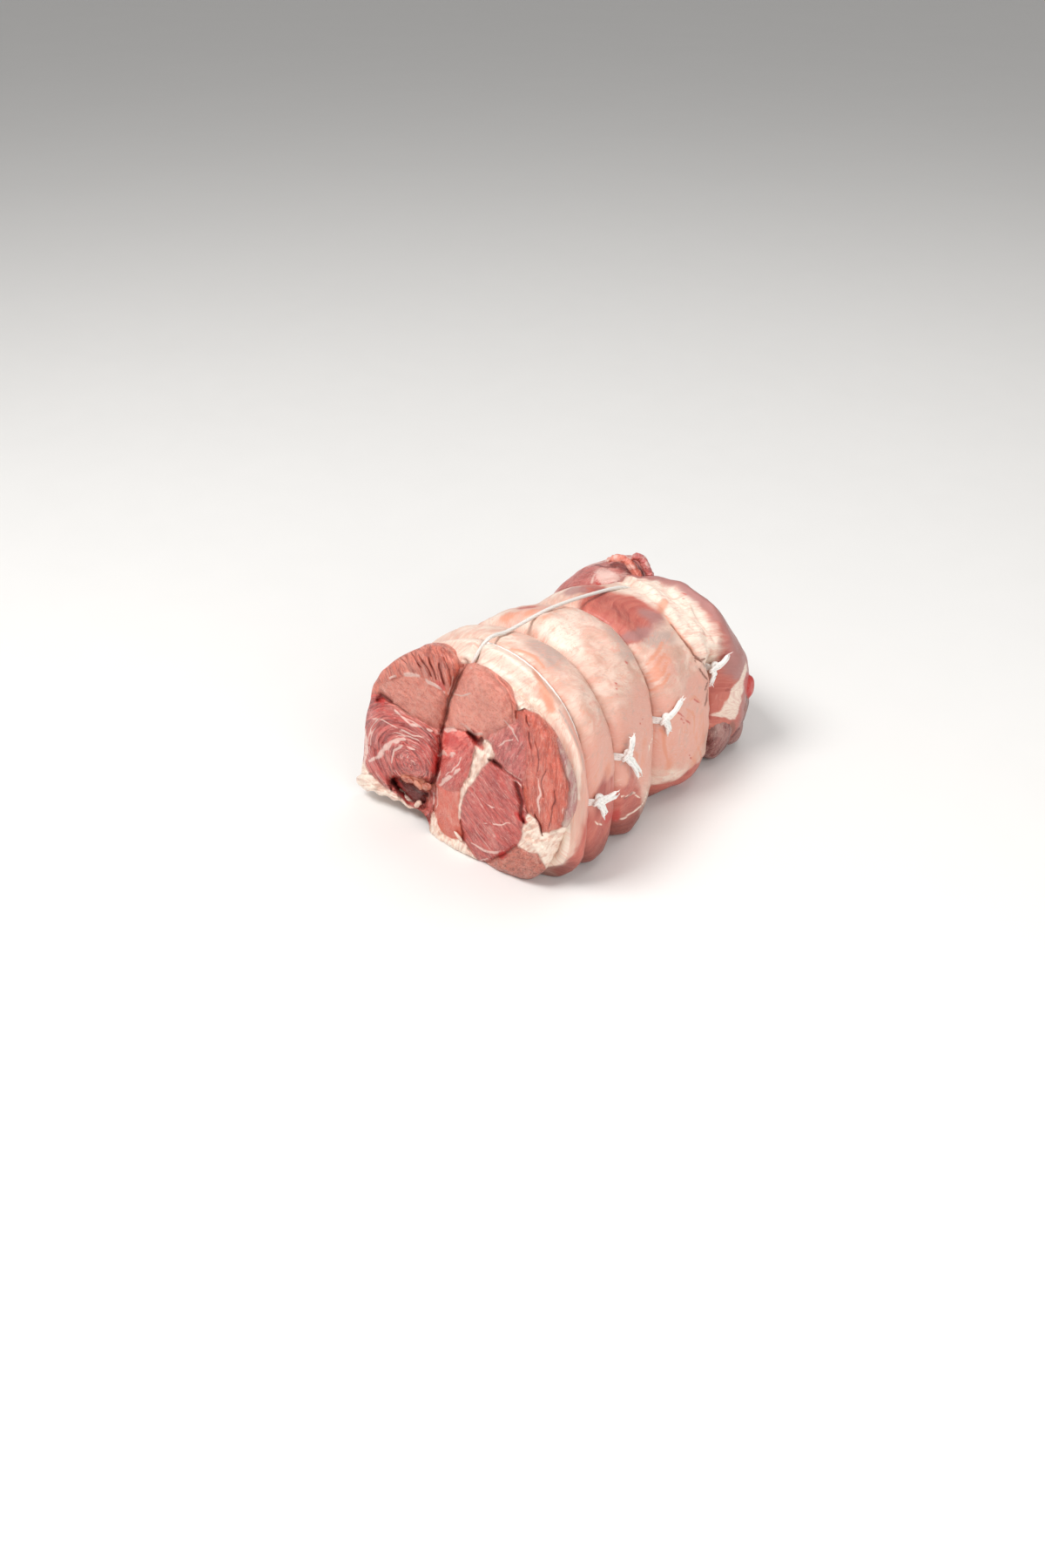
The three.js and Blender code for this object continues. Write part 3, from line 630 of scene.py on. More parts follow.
def cap_rings():
    """Row, shrink and kind (-1 face, 0 side, 1 tail) of every ring from the face to the tail."""
    in_front, along, behind = CAP_RINGS
    face = 1 - (1 - np.linspace(0, 1, in_front + 1)[:-1]) ** 1.25
    fine = np.linspace(CAP_START, TAIL_Y, 4000)
    density = 1.0 + sum(1.6 * gauss((fine - loop["y"]) / 6) + 3.5 * gauss((fine - loop["y"]) / 1.3)
                        for loop in LOOPS)
    walk = np.cumsum(density)
    rows = np.interp(np.linspace(walk[0], walk[-1], along), walk, fine)
    tail = np.linspace(0.94, 0, behind)
    rings = [(CAP_START, size, -1) for size in face] + [(row, 1.0, 0) for row in rows]
    return np.array(rings + [(TAIL_Y, size, 1) for size in tail])


def string_groove(x, row, theta):
    """Depth of the groove that the long string presses into the top."""
    over = np.sin(theta) > 0
    notch = NOTCH[0] + (NOTCH[1] - NOTCH[0]) * ease(-66, CAP_START, row)
    first = notch * gauss((x - STRING_X) / 1.5) * ease(-64, -72, row)
    further = TOP_GROOVE * gauss((x - STRING_X) / 1.4) * ease(-72, -64, row) * ease(48, 40, row)
    return over * (first + further)


def fat_cap_points(unit, rings):
    """Points of the closed fat side with its two caps, their rings and their marks."""
    count = len(rings) - 1
    index = np.round(np.arccos(np.clip(-unit[:, 2], -1, 1)) / math.pi * count).astype(int)
    step = np.round(np.arctan2(unit[:, 1], unit[:, 0]) / (2 * math.pi) * CAP_AROUND).astype(int)
    theta = even_turns(CAP_AROUND)[step % CAP_AROUND]
    row, shrink, kind = rings[index, 0], rings[index, 1], rings[index, 2]
    p = skin(row, theta)
    out = -string_groove(p[:, 0], row, theta)
    for loop in LOOPS:
        out -= SLOT_DEEP * gauss((row - loop["y"]) / SLOT_WIDE)
    out += 0.6 * lumps(p, 13, 1) + 0.32 * lumps(p, 4.5, 2) + 0.13 * lumps(p, 1.7, 3)
    out += gauss((row - 42) / 12) * (1.4 * lumps(p, 7, 4) + 0.6 * lumps(p, 3, 5))
    centre = np.stack([section("lean", row), section("waist", row)], -1)
    away = unit_rows(p[:, [0, 2]] - centre)
    p[:, [0, 2]] += away * out[:, None]
    # the front cap leans with the face and carries the fat rim; the tail cap closes the roll
    front, tail = kind < 0, kind > 0
    p[:, [0, 2]] = CAP_MIDDLE + (p[:, [0, 2]] - CAP_MIDDLE) * shrink[:, None]
    rim_x, rim_y = zip(*CAP_RIM)
    flat = face_at(p[front, 0], p[front, 2]) + np.interp(shrink[front], rim_x, rim_y)
    p[:, 1] += RIM_BACK * gauss((row - CAP_START) / 6) * (kind == 0)
    side_y = p[front, 1] + RIM_BACK
    blend = ease(0.93, 1.0, shrink[front])
    p[front, 1] = flat * (1 - blend) + side_y * blend
    far, _ = line_distance(p[front][:, [0, 2]], LOBE_CREASE)
    p[front, 1] += 4.0 * gauss(far / 3.4)
    p[tail, 1] = TAIL_Y + TAIL_BULGE * (1 - shrink[tail] ** 2.2)
    p[:, 1] += 0.5 * lumps(p, 9, 9) * (kind != 0)
    marks, relief = skin_marks(row, np.degrees(theta), p)
    p[:, [0, 2]] += away * (relief * (kind == 0))[:, None]
    p[:, 2] = REST_SOFT * np.logaddexp(0, p[:, 2] / REST_SOFT)
    return p, row, theta, shrink, kind, marks


def cap_marks(marks, points, shrink, kind):
    """Changes the marks of both caps, which would otherwise be copies of their rims."""
    # the lower left of the front cap gets painted shade, with lean colour as part of that shade
    shaded_low_left = ease(0, -10, points[:, 0]) * ease(34, 26, points[:, 2])
    front = {"cream": ease(0.86, 0.94, shrink) * (1 - shaded_low_left), "dusk": shaded_low_left,
             "lean": 1.2 * np.maximum(ease(0.92, 0.86, shrink), shaded_low_left)}
    tail = {"lean": 0.6 + 0.7 * lumps(points, 15, 81), "mauve": 0.6 + 0.6 * lumps(points, 11, 82)}
    inner = ease(1.0, 0.86, shrink)
    for key in SKIN_KINDS:
        rim = marks[key]
        in_front = front.get(key, rim * ease(0.94, 1.0, shrink))
        behind = rim * (1 - inner) + tail.get(key, 0) * inner
        marks[key] = np.select([kind < 0, kind > 0], [in_front, behind], rim)


def skin_grain(row, theta):
    """Grain coordinates of the fat side: they turn with the muscle on top and meet below."""
    degrees = (np.degrees(theta) + 90) % 360 - 90
    tilt = (np.radians(32) * gauss((row - 5) / 20) * gauss((degrees - 70) / 26)
            + np.radians(14) * np.sin(row / 23 + degrees / 31))
    across = degrees * ROUND_MM
    return np.stack([row + 0.3 * across * np.sin(tilt), across - (row - 5) * np.sin(tilt), 0 * row], -1)


class LAMBROLL_OT_fat_cap(bpy.types.Operator):
    """Lofts the rolled body with its fat side, creases and rim"""

    bl_idname = "lambroll.fat_cap"
    bl_label = "Fat Cap"

    def execute(self, context):
        rings = cap_rings()
        bm, unit = ball_mesh(CAP_AROUND, len(rings) - 1)
        points, row, theta, shrink, kind, marks = fat_cap_points(unit, rings)
        move_points(bm, points)
        cap_marks(marks, points, shrink, kind)
        marks["grain"] = np.where((kind > 0)[:, None], points[:, [2, 0, 1]], skin_grain(row, theta))
        finish_piece("fat_cap", bm, fat_cap_material(context.scene.lamb_colours),
                     ["lamb_roll"], marks=marks)
        return {"FINISHED"}


# ---- cut face ------------------------------------------------------------------------------------
# Every muscle and fat seam of the cut face: how far it stands out and swells, the direction of its
# fibres in degrees or the centre they run round, and its outline in X and Z.
REGIONS = (
    {"name": "eye", "tint": "eye", "stand": 2.8, "dome": 2.6, "round": (27, 84), "worm": 1.0,
     "outline": ((12, 98), (18, 101), (26, 102), (34, 100.5), (40, 95.5), (44, 88), (43, 80), (35, 73),
                 (25, 68.5), (12, 66), (4, 63), (5, 72), (9, 84), (11, 91))},
    {"name": "eye_rim", "tint": "brown", "stand": 2.4, "dome": 1.4, "grain": -55, "ridge": 0.5,
     "outline": ((27, 104), (36, 102), (43, 95), (46, 87), (42.5, 82), (41, 88), (36.5, 94), (28, 99))},
    {"name": "small_red", "tint": "red", "stand": 1.6, "dome": 1.6, "grain": 35,
     "outline": ((1, 61), (12, 66), (20, 66), (13, 57), (3, 47), (-1, 50))},
    {"name": "strip", "tint": "pink", "stand": 3.0, "dome": 1.6, "grain": 55,
     "outline": ((20, 65), (22, 60), (21, 53), (13, 36), (5, 31), (-3, 31), (-3, 40), (9, 53))},
    {"name": "pale", "tint": "salmon", "stand": 2.4, "dome": 1.6, "grain": 80,
     "outline": ((-3, 30), (5, 31), (13, 34), (12, 19), (14, 9), (6, 5.5), (0, 5), (-4.5, 7.5), (-6, 18))},
    {"name": "fat_rim", "tint": "fat", "stand": 3.6, "dome": 1.4, "grain": 80, "fat": True,
     "outline": ((-6, 14), (-9, 12), (-12, 4), (-12, -6), (8, -6), (22, -4), (23, 3), (17, 8.5), (12, 7),
                 (6, 5.5), (0, 5), (-4.5, 7.5))},
    {"name": "fat_wedge", "tint": "fat", "stand": 2.6, "dome": 1.0, "grain": 70, "fat": True,
     "outline": ((22, 61), (25, 59), (30, 65), (34, 62), (26, 52), (20, 42), (14, 32), (12, 19),
                 (10, 19), (12.5, 30), (19, 46))},
    {"name": "large_round", "tint": "purple", "stand": 2.8, "dome": 2.4, "grain": -32, "marble": 0.5,
     "outline": ((31, 58), (47, 53), (51, 40), (50, 34), (46, 22), (38, 11), (27, 2), (20, 3),
                 (13, 14), (13, 26), (19, 39), (26, 52))},
    {"name": "mottled", "tint": "mauve", "stand": 2.0, "dome": 1.2, "grain": 70, "marble": 0.4,
     "worm": 0.3,
     "outline": ((29, 70), (41, 80), (47, 81), (50, 72), (49, 54), (43, 53), (33, 57), (32, 64))},
    {"name": "crescent", "tint": "orange", "stand": 2.8, "dome": 2.6, "grain": 86, "ridge": 0.5,
     "outline": ((44, 86), (49, 89), (54, 90), (59, 88), (63.5, 83), (67.5, 76), (70.5, 68), (72.5, 60),
                 (72.5, 52), (70.5, 45), (67, 38), (63.5, 33), (60, 32), (58, 38), (51, 40), (50, 60),
                 (50, 73))},
    {"name": "fat_notch", "tint": "fat", "stand": 2.4, "dome": 1.2, "grain": 60, "fat": True,
     "outline": ((36, 102), (43, 95), (46, 88), (45, 86.5), (49, 89), (54, 90), (59, 88.5), (66, 90),
                 (50, 102))},
    {"name": "silver", "tint": "silver", "stand": 1.8, "dome": 0.5, "grain": 80,
     "outline": ((66, 81), (71, 75), (75, 68.5), (77.5, 62), (77.5, 54), (75.5, 46), (72.5, 40), (70, 42),
                 (72.5, 52), (72.5, 60), (70.5, 68), (67.5, 76))},
    {"name": "fat_corner", "tint": "fat", "stand": 2.2, "dome": 1.4, "grain": 40, "fat": True,
     "outline": ((52, 39), (57, 37), (60, 32), (64, 33), (68, 38), (73, 42), (80, 42), (76, 28), (69, 19),
                 (65, 15), (61, 17), (56, 20), (47, 20), (50, 33))},
    {"name": "foot", "tint": "brown", "stand": 2.8, "dome": 2.0, "grain": 15, "worm": 0.8,
     "outline": ((40, 13.5), (46, 18.5), (56, 20.5), (62, 17), (64, 12), (60, 0), (48, -4), (24, -4),
                 (28, 3), (34, 8))},
    {"name": "shoulder_band", "tint": "umber", "stand": 2.8, "dome": 2.4, "grain": 118, "ridge": 0.6,
     "outline": ((-46, 62), (-42, 72), (-30, 88), (-7, 105), (8, 106), (18, 99), (12, 91), (7, 80),
                 (3, 81.5), (-10, 83), (-20, 81), (-30, 75.5), (-38, 70))},
    {"name": "fine_grain", "tint": "fine", "stand": 2.6, "dome": 1.8, "grain": -25, "worm": 0.8,
     "outline": ((-38, 69), (-36, 65), (-27, 62), (-22, 60), (-10, 60), (-1, 61), (4, 70), (5, 79),
                 (-1, 81), (-14, 83), (-24, 79))},
    {"name": "swirl", "tint": "crimson", "stand": 2.6, "dome": 2.8, "round": (-20, 34), "marble": 1.0,
     "ridge": 0.6,
     "outline": ((-46, 60), (-36, 64), (-25, 60), (-10, 59), (1, 60), (0, 50), (-2, 37), (-7, 29),
                 (-16, 28), (-26, 27), (-32, 21), (-34, 13.4), (-38, 14), (-44, 16), (-49, 19.5),
                 (-52, 25), (-52, 42))},
    {"name": "fat_apron", "tint": "fat", "stand": 3.2, "dome": 1.4, "grain": 10, "fat": True,
     "outline": ((-52, 25), (-58, 28), (-60, 4), (-42, 2), (-18, 4), (-20, 10), (-24, 10.4), (-29, 12),
                 (-34, 13.4), (-38, 14), (-44, 16), (-49, 19.5))},
    # the hollow: its colours are painted shade
    {"name": "hollow", "tint": "hollow", "stand": -1.8, "dome": 0.0, "grain": 0,
     "outline": ((-31, 21.5), (-25, 22.5), (-17, 21.5), (-10, 23), (-12, 17), (-18, 14.6), (-24, 15.5),
                 (-29, 18))},
    {"name": "curl", "tint": "crimson", "stand": 1.4, "dome": 1.6, "grain": -28, "ridge": 0.4,
     "outline": ((-32, 21.5), (-34, 13.4), (-29, 12), (-24, 10.4), (-20, 10), (-15.5, 11.5), (-16, 13.6),
                 (-18, 14.2), (-24, 15), (-29, 17.4))},
    {"name": "ledge", "tint": "ledge", "stand": 1.8, "dome": 1.6, "grain": 10, "fat": True,
     "outline": ((-27, 26), (-17, 28), (-9, 29), (-5, 31), (-5, 27), (-9, 24), (-15, 23), (-23, 23))},
    {"name": "tag", "tint": "tag", "stand": -0.5, "dome": 1.6, "grain": 80, "ridge": 0.4,
     "outline": ((-9, 25), (-5, 30), (-5, 18), (-8, 12), (-8, 2), (-17, 2), (-14, 17))},
)
# neighbours whose seam is a soft change of colour
JOINED = (("shoulder_band", "fine_grain"), ("eye", "eye_rim"), ("eye", "mottled"), ("mottled", "crescent"),
          ("strip", "pale"), ("small_red", "strip"), ("swirl", "fine_grain"))
# the edge as seen from the viewer's place, on a plane just in front of the cut
FACE_OUTLINE = (
    (-44, 60), (-42, 67), (-37, 75.5), (-30, 83), (-21, 90.5), (-12, 97), (-5, 101.5), (2, 103.2),
    (9, 102), (15, 98.8), (20, 101), (27, 101.8), (34, 100.4), (40, 98), (46, 95), (52, 93),
    (56, 91), (60, 88.5), (65, 84), (70, 77.5), (74.5, 70.5), (77.3, 63), (77.3, 54), (75.5, 46),
    (73, 38), (69.5, 29), (65.5, 21), (61.5, 13), (56, 7), (49, 3.4), (38, 1.8), (27, 1.4), (16, 1.2),
    (4, 0), (-6, -1.5), (-9.5, 1.5), (-10.5, 6), (-13, 9), (-18, 10.5), (-23, 8.6), (-29, 10.5),
    (-33, 9), (-37, 9.8), (-42, 8), (-46, 8.8), (-50, 7.2), (-54, 8), (-57, 10), (-56.6, 13),
    (-53.8, 15.6), (-52.4, 21), (-50.8, 28), (-49.6, 38), (-47.5, 50),
)
FACE_MIDDLE = (10.0, 48.0)
FACE_RIM_Y = (-82.0, 4.0, 7.0)  # where the rolled edge sinks in, and how much nearer left and low down
FACE_ROLL = (3.0, 7.5)  # how wide the edge is rolled over, at the bottom and from 25 mm up
FACE_RELIEF = 4.0  # height over the fat of the plane on which the outline is seen
FACE_BACK = ((0.985, 2.5), (0.96, 5.0), (0.9, 8.0))  # rings behind the edge: size, and how far back
FACE_CELLS = (318, 296)  # points across and up, for just under 200,000 triangles


def grain_of(muscle, x, z, depth):
    """Fibre coordinates in millimetres: along, across and into the meat."""
    crinkle = 1 + 1.6 * muscle.get("worm", 0.0)
    if "round" in muscle:
        dx, dz = x - muscle["round"][0], z - muscle["round"][1]
        return np.stack([np.arctan2(dz, dx) * 12 * crinkle, np.hypot(dx, dz * 1.2), depth], -1)
    turn = math.radians(muscle["grain"])
    along = x * math.cos(turn) + z * math.sin(turn)
    across = -x * math.sin(turn) + z * math.cos(turn)
    return np.stack([along * crinkle, across + 2.0 * np.sin(along / 16), depth], -1)


def tint_marks(colours, tint, count):
    """The plain and the dark colour of a kind of meat for a number of points."""
    dark, plain = (np.tile((*linear(getattr(colours, key)), 1.0), (count, 1)) for key in TINTS[tint])
    return {"tint": plain, "shade": dark}


def region_values(key, which, default=0.0):
    """A value of the regions that points belong to."""
    return np.array([r.get(key, default) for r in REGIONS], float)[which]


def region_height(which, inside):
    """How far regions stand out: they swell towards their middle."""
    dome = 1 - np.exp(-np.maximum(inside, 0) / 5)
    return region_values("stand", which) + region_values("dome", which) * dome


def nearest_regions(points):
    """The two nearest regions of every point, how deep it lies in the first, and half their gap."""
    scores = np.stack([outline_distance(points, r["outline"]) for r in REGIONS])
    order = np.argsort(scores, axis=0)[:2]
    near, next_ = np.take_along_axis(scores, order, 0)
    return order[0], order[1], -near, (next_ - near) / 2


def softly_joined(first, second):
    """Whether the seam between two regions is a soft one, 0 or 1."""
    names = [r["name"] for r in REGIONS]
    joined = np.zeros((len(REGIONS), len(REGIONS)))
    for one, other in JOINED:
        joined[names.index(one), names.index(other)] = 1
    return (joined + joined.T)[first, second]


def cut_face(colours, x, z):
    """Heights and marks of the cut face at points of its plane."""
    flat = np.stack([x, z, 0 * x], -1)
    wobble = lumps_each(flat, 6, (71, 72)) + 0.45 * lumps_each(flat, 2.2, (73, 74))
    first, second, depth_in, gap = nearest_regions(flat[:, :2] + wobble)
    share = 0.5 * np.exp(-gap / 0.9)
    high = region_height(first, depth_in) * (1 - share) + region_height(second, 0 * x) * share
    joined = softly_joined(first, second)
    fatty = region_values("fat", first)
    soft = np.maximum(np.maximum(fatty, region_values("fat", second)), joined)
    marks, relief = face_marks(x, z)
    high += relief * (region_values("stand", first) > -1) - 1.1 * gauss(gap / 0.8) * (1 - 0.85 * soft)
    # seams: painted shade in broken clefts between muscles, thin lines of fat, painted shade at the edge of
    # the hollow, and the crease of the lobes, dented and painted with shade
    seam = gauss(gap / 0.6) * (1 - 0.8 * soft) * (0.1 + 0.9 * ease(-0.3, 0.5, lumps(flat, 5, 75)))
    raise_mark(marks, "cleft", 0.6 * seam)
    hollow = [r["name"] for r in REGIONS].index("hollow")
    raise_mark(marks, "cleft", ((first == hollow) | (second == hollow)) * gauss(gap / 1.3))
    thin_fat = gauss((gap - 1.1) / 0.5) * ease(0.15, 0.5, lumps(flat, 7, 76)) * (1 - soft)
    raise_mark(marks, "fat", 0.75 * thin_fat)
    far, _ = line_distance(flat[:, :2], SEEN_CREASE)
    raise_mark(marks, "cleft", 0.75 * gauss(far / 0.6))
    high -= 2.2 * gauss(far / 1.2) + 3.0 * gauss(far / 4.6)
    # fibres and colours of each muscle
    grain = np.zeros((len(x), 3))
    for index, region in enumerate(REGIONS):
        here = first == index
        grain[here] = grain_of(region, x[here], z[here], 0 * x[here])
    blend = (0.5 * np.exp(-gap / (0.25 + 1.6 * joined)))[:, None]
    tints = [tint_marks(colours, region["tint"], 1) for region in REGIONS]
    for key in ("tint", "shade"):
        kinds = np.concatenate([t[key] for t in tints])
        marks[key] = kinds[first] * (1 - blend) + kinds[second] * blend
    ridge = 0.6 * lumps(grain * (0.07, 0.42, 0.2), 1.0, 21) + 0.4 * lumps(grain * (0.13, 0.95, 0.3), 1.0, 22)
    ridged = region_values("ridge", first)
    high += np.where(fatty > 0, 0, 0.35 + ridged) * ridge * ease(0, 2, gap)
    high += (0.5 + 0.6 * fatty) * lumps(flat, 6, 23) + (0.25 + 0.6 * fatty) * lumps(flat, 2.6, 24)
    high += (0.1 + 0.25 * fatty) * lumps(flat, 1.2, 25)
    # groove: where the ridges dip, later darkened as painted shade
    marks.update(grain=grain, worm=region_values("worm", first), groove=np.clip(-ridge * 2.0, 0, 1) * ridged,
                 marble=region_values("marble", first, 0.12) * (1 - fatty))
    return high, marks


def face_reach(turn):
    """How far the outline of the face is from its middle, in each direction."""
    rim, _ = smooth_line(FACE_OUTLINE, np.arange(1200) / 1200, closed=True)
    away = rim - FACE_MIDDLE
    rim_turn = np.arctan2(away[:, 1], away[:, 0])
    order = np.argsort(rim_turn)
    return np.interp(turn, rim_turn[order], np.hypot(*away.T)[order], period=2 * math.pi)


class LAMBROLL_OT_cut_face(bpy.types.Operator):
    """Makes the cut face with its muscles, seams of fat, lobe crease and rolled edge"""

    bl_idname = "lambroll.cut_face"
    bl_label = "Cut Face"

    def execute(self, context):
        bm = bmesh.new()
        bmesh.ops.create_grid(bm, x_segments=FACE_CELLS[0], y_segments=FACE_CELLS[1], size=1.0)
        front = len(bm.verts)
        border = [e for e in bm.edges if e.is_boundary]
        for _ in FACE_BACK:
            made = bmesh.ops.extrude_edge_only(bm, edges=border)["geom"]
            border = [g for g in made if isinstance(g, bmesh.types.BMEdge) and g.is_boundary]
        bmesh.ops.holes_fill(bm, edges=border, sides=0)
        # the square grid is made round, and is denser towards the edge
        u, v = np.array([vert.co.xy for vert in bm.verts]).T
        a, b = u * np.sqrt(1 - v * v / 2), v * np.sqrt(1 - u * u / 2)
        turn, left = np.arctan2(b, a), np.clip(1 - np.hypot(a, b), 0, 1)
        reach = face_reach(turn)
        edge = left * (1 - 0.8 * np.exp(-left / 0.05)) * reach
        x = FACE_MIDDLE[0] + np.cos(turn) * (reach - edge)
        z = FACE_MIDDLE[1] + np.sin(turn) * (reach - edge)
        high, marks = cut_face(context.scene.lamb_colours, x, z)
        plane = face_at(x, z) - FACE_RELIEF
        rim_y = (FACE_RIM_Y[0] - FACE_RIM_Y[1] * ease(0, -36, x)
                 - FACE_RIM_Y[2] * ease(34, 6, z) * ease(-25, -8, x))
        wide = FACE_ROLL[0] + (FACE_ROLL[1] - FACE_ROLL[0]) * ease(2, 25, z)
        roll = np.sqrt(np.maximum(1 - (1 - np.clip(edge / wide, 0, 1)) ** 2, 0))
        y = rim_y + (plane + FACE_RELIEF - high - rim_y) * roll
        points = placed(np.stack([x, z], -1), plane, y)
        # the rings behind the edge
        each = (len(x) - front) // len(FACE_BACK)
        for ring, (size, further) in enumerate(FACE_BACK):
            part = slice(front + ring * each, front + (ring + 1) * each)
            points[part, 0::2] = FACE_MIDDLE + (points[part, 0::2] - FACE_MIDDLE) * size
            points[part, 1] += further
        marks["grain"][:, 2] += 0.9 * (points[:, 1] - plane)
        points[:, 2] = np.maximum(points[:, 2], 0.15)
        points[:, 0::2] += 0.35 * lumps_each(points, 5, (77, 78))
        points[:, 2] = np.maximum(points[:, 2], 0.1)
        move_points(bm, points)
        finish_piece("cut_face", bm, meat_material(context.scene.lamb_colours), ["lamb_roll"],
                     marks=marks)
        return {"FINISHED"}


def blank_marks(count, grain, marble=0.0):
    """The marks of a piece of meat that isn't part of the cut face."""
    marks = {key: np.zeros(count) for key in ("fat", "cleft", "blood", "worm", "groove")}
    return {**marks, "marble": np.full(count, marble), "grain": grain}


def finish_meat(name, bm, points, marks, colours, tint):
    """Places and tints a piece of meat that stands by itself."""
    move_points(bm, points)
    marks.update(tint_marks(colours, tint, len(points)))
    finish_piece(name, bm, meat_material(colours), ["lamb_roll"], marks=marks)


# Ragged bits of fat: place in X and Z, half sizes across and up, turn in degrees, height, tint.
FAT_BITS = (
    (11, 9.5, 3.2, 1.1, -35, 4.4, "fat"), (-17, 13.6, 3.2, 1.3, 48, 2.0, "fat"),
    (-23, 24.6, 4.0, 1.7, 14, 2.6, "ledge"), (-16.5, 24.4, 3.0, 1.9, -12, 2.8, "ledge"),
    (-11, 25.8, 3.4, 1.9, 34, 2.6, "ledge"),
)


class LAMBROLL_OT_fat_bits(bpy.types.Operator):
    """Makes the small ragged bits of fat on the cut face"""

    bl_idname = "lambroll.fat_bits"
    bl_label = "Ragged Fat"

    def execute(self, context):
        parts, kept = [], []
        for seed, (x, z, wide, tall, turn, high, tint) in enumerate(FAT_BITS):
            bm, unit = ball_mesh(40, 26)
            shape = signed_power(unit, 0.9) * (wide, 1.6, tall)
            shape += unit * (0.45 * lumps(shape, 1.7, 80 + seed) + 0.2 * lumps(shape, 0.8, 90))[:, None]
            angle = math.radians(turn)
            px = x + shape[:, 0] * math.cos(angle) - shape[:, 2] * math.sin(angle)
            pz = z + shape[:, 0] * math.sin(angle) + shape[:, 2] * math.cos(angle)
            y = face_at(x, z) - high + 0.9 + shape[:, 1]
            points = placed(np.stack([px, pz], -1), face_at(x, z) - FACE_RELIEF, y)
            points[:, 2] = np.maximum(points[:, 2], 0.1)
            move_points(bm, points)
            tints = tint_marks(context.scene.lamb_colours, tint, len(points))
            kept.append({**blank_marks(len(points), points), **tints})
            parts.append(bm)
        joined = {key: np.concatenate([m[key] for m in kept]) for key in kept[0]}
        finish_piece("fat_bits", join_meshes(parts), meat_material(context.scene.lamb_colours),
                     ["lamb_roll"], marks=joined)
        return {"FINISHED"}


# ---- shank end and flaps -------------------------------------------------------------------------
SHANK_Y = 62.0
SHANK = {"line": ((-42, 28), (-41, 47), (-30, 61), (-13, 72), (2, 80)), "half": 13, "deep": 19}
SHANK_MIDDLE = (-10.0, SHANK_Y, 45.0)  # the bumps of the shank rise away from here
CUP = {"at": (10, SHANK_Y - 1, 86), "size": (7, 12, 8), "axis": (-0.88, 0.0, -0.47)}
# marks of the shank as seen on the plane of the far end, for each kind: half width, line in X and Z
SHANK_MARKS = {
    "fat": (
        (4.5, ((-15, 79), (-9, 82), (-3, 83), (2, 82))), (1.2, ((-28, 81), (-20, 86.5), (-12, 90))),
        (0.8, ((-41, 69), (-37, 73), (-33, 77))), (0.9, ((-21, 74), (-19, 79))),
    ),
    # the crevice between the lips of the cut end: painted shade
    "cleft": (
        (1.3, ((3.5, 95), (6.6, 92), (9.5, 89), (11.8, 85))), (0.8, ((-4.2, 80.2), (-2.2, 79))),
        (0.5, ((-19, 85), (-12, 85.5), (-6, 87.5))),
    ),
    "blood": (
        (1.6, ((-17, 79), (-15.5, 74))),
    ),
}
# folds of the cut end: Y and the line as seen, half width, depth, tint
SHANK_FOLDS = (
    {"name": "shank_fold_near", "y": 54.0, "half": 2.2, "deep": 4.0, "tint": "fine",
     "line": ((-12, 89.6), (-6, 92), (0, 92.6), (3.6, 90), (7, 86.6), (11, 83.5))},
    {"name": "shank_fold_far", "y": 57.0, "half": 2.0, "deep": 4.5, "tint": "mauve",
     "line": ((1.5, 93.6), (5, 96), (9.6, 96), (12, 92.8), (14.4, 88.6), (16, 84))},
)
FLAPS = (
    {"name": "flap_purple", "at": (54, 67, 28), "size": (10, 12, 21), "turn_z": 14, "turn_y": 0,
     "tint": "tail", "grain": 75},
    {"name": "flap_dark", "at": (56, 52, 13), "size": (8, 11, 13), "turn_z": 8, "turn_y": 10,
     "tint": "tail", "grain": 60},
    {"name": "flap_low", "at": (55, 66, 11), "size": (8, 10, 9), "turn_z": 20, "turn_y": 0,
     "tint": "tail", "grain": 40},
    {"name": "flap_red_end", "at": (60.5, 71, 33), "size": (4, 5, 7), "turn_z": 0, "turn_y": 10,
     "tint": "pink", "grain": 80},
    {"name": "flap_under_crease", "at": (53, 22, 4.5), "size": (6, 8, 5), "turn_z": 0, "turn_y": 0,
     "tint": "crimson", "grain": 0},
    {"name": "fat_band_end", "at": (47.5, 50, 60), "size": (10, 8, 10), "turn_z": -8, "turn_y": 30,
     "tint": "fat", "grain": 60},
)


def around(unit):
    """The angle of the points of a ball round its upright axis."""
    return np.arctan2(unit[:, 1], unit[:, 0])


def sausage_size(unit):
    """Thickness of a ball stretched along a line: full nearly all the way, closed at both ends."""
    return np.maximum(1 - np.abs(np.clip(unit[:, 2], -1, 1)) ** 4, 0) ** 0.5


def shank_points(unit):
    """Points of the shank along its bent line, and its grain coordinates."""
    t, turn, size = (unit[:, 2] + 1) / 2, around(unit), sausage_size(unit)
    at, way = smooth_line(SHANK["line"], np.clip(t, 0, 1))
    across = SHANK["half"] * size * signed_power(np.cos(turn), 0.75)
    rise = SHANK["deep"] * size * signed_power(np.sin(turn), 0.75)
    x, z = at[:, 0] - way[:, 1] * across, at[:, 1] + way[:, 0] * across
    points = np.stack([x, SHANK_Y + rise - 0.06 * x, z], -1)
    grain = np.stack([t * 90, turn * 14, 0 * t], -1)
    high = (0.6 * lumps(points, 10, 31) + 0.25 * lumps(points, 3.5, 32)
            + 0.25 * lumps(grain * (0.1, 0.55, 1), 1.0, 33))
    return points + unit_rows(points - SHANK_MIDDLE) * high[:, None], grain


def cup_depth(points, axis):
    """How far points must move along the axis to lie on the wall of the hollow in the cut end."""
    inside, step = (points - CUP["at"]) / CUP["size"], axis / CUP["size"]
    a, b, c = step @ step, inside @ step, (inside ** 2).sum(1) - 1
    root = b * b - a * c
    return np.where(root > 0, np.clip((-b + np.sqrt(np.maximum(root, 0))) / a, 0, 14), 0)


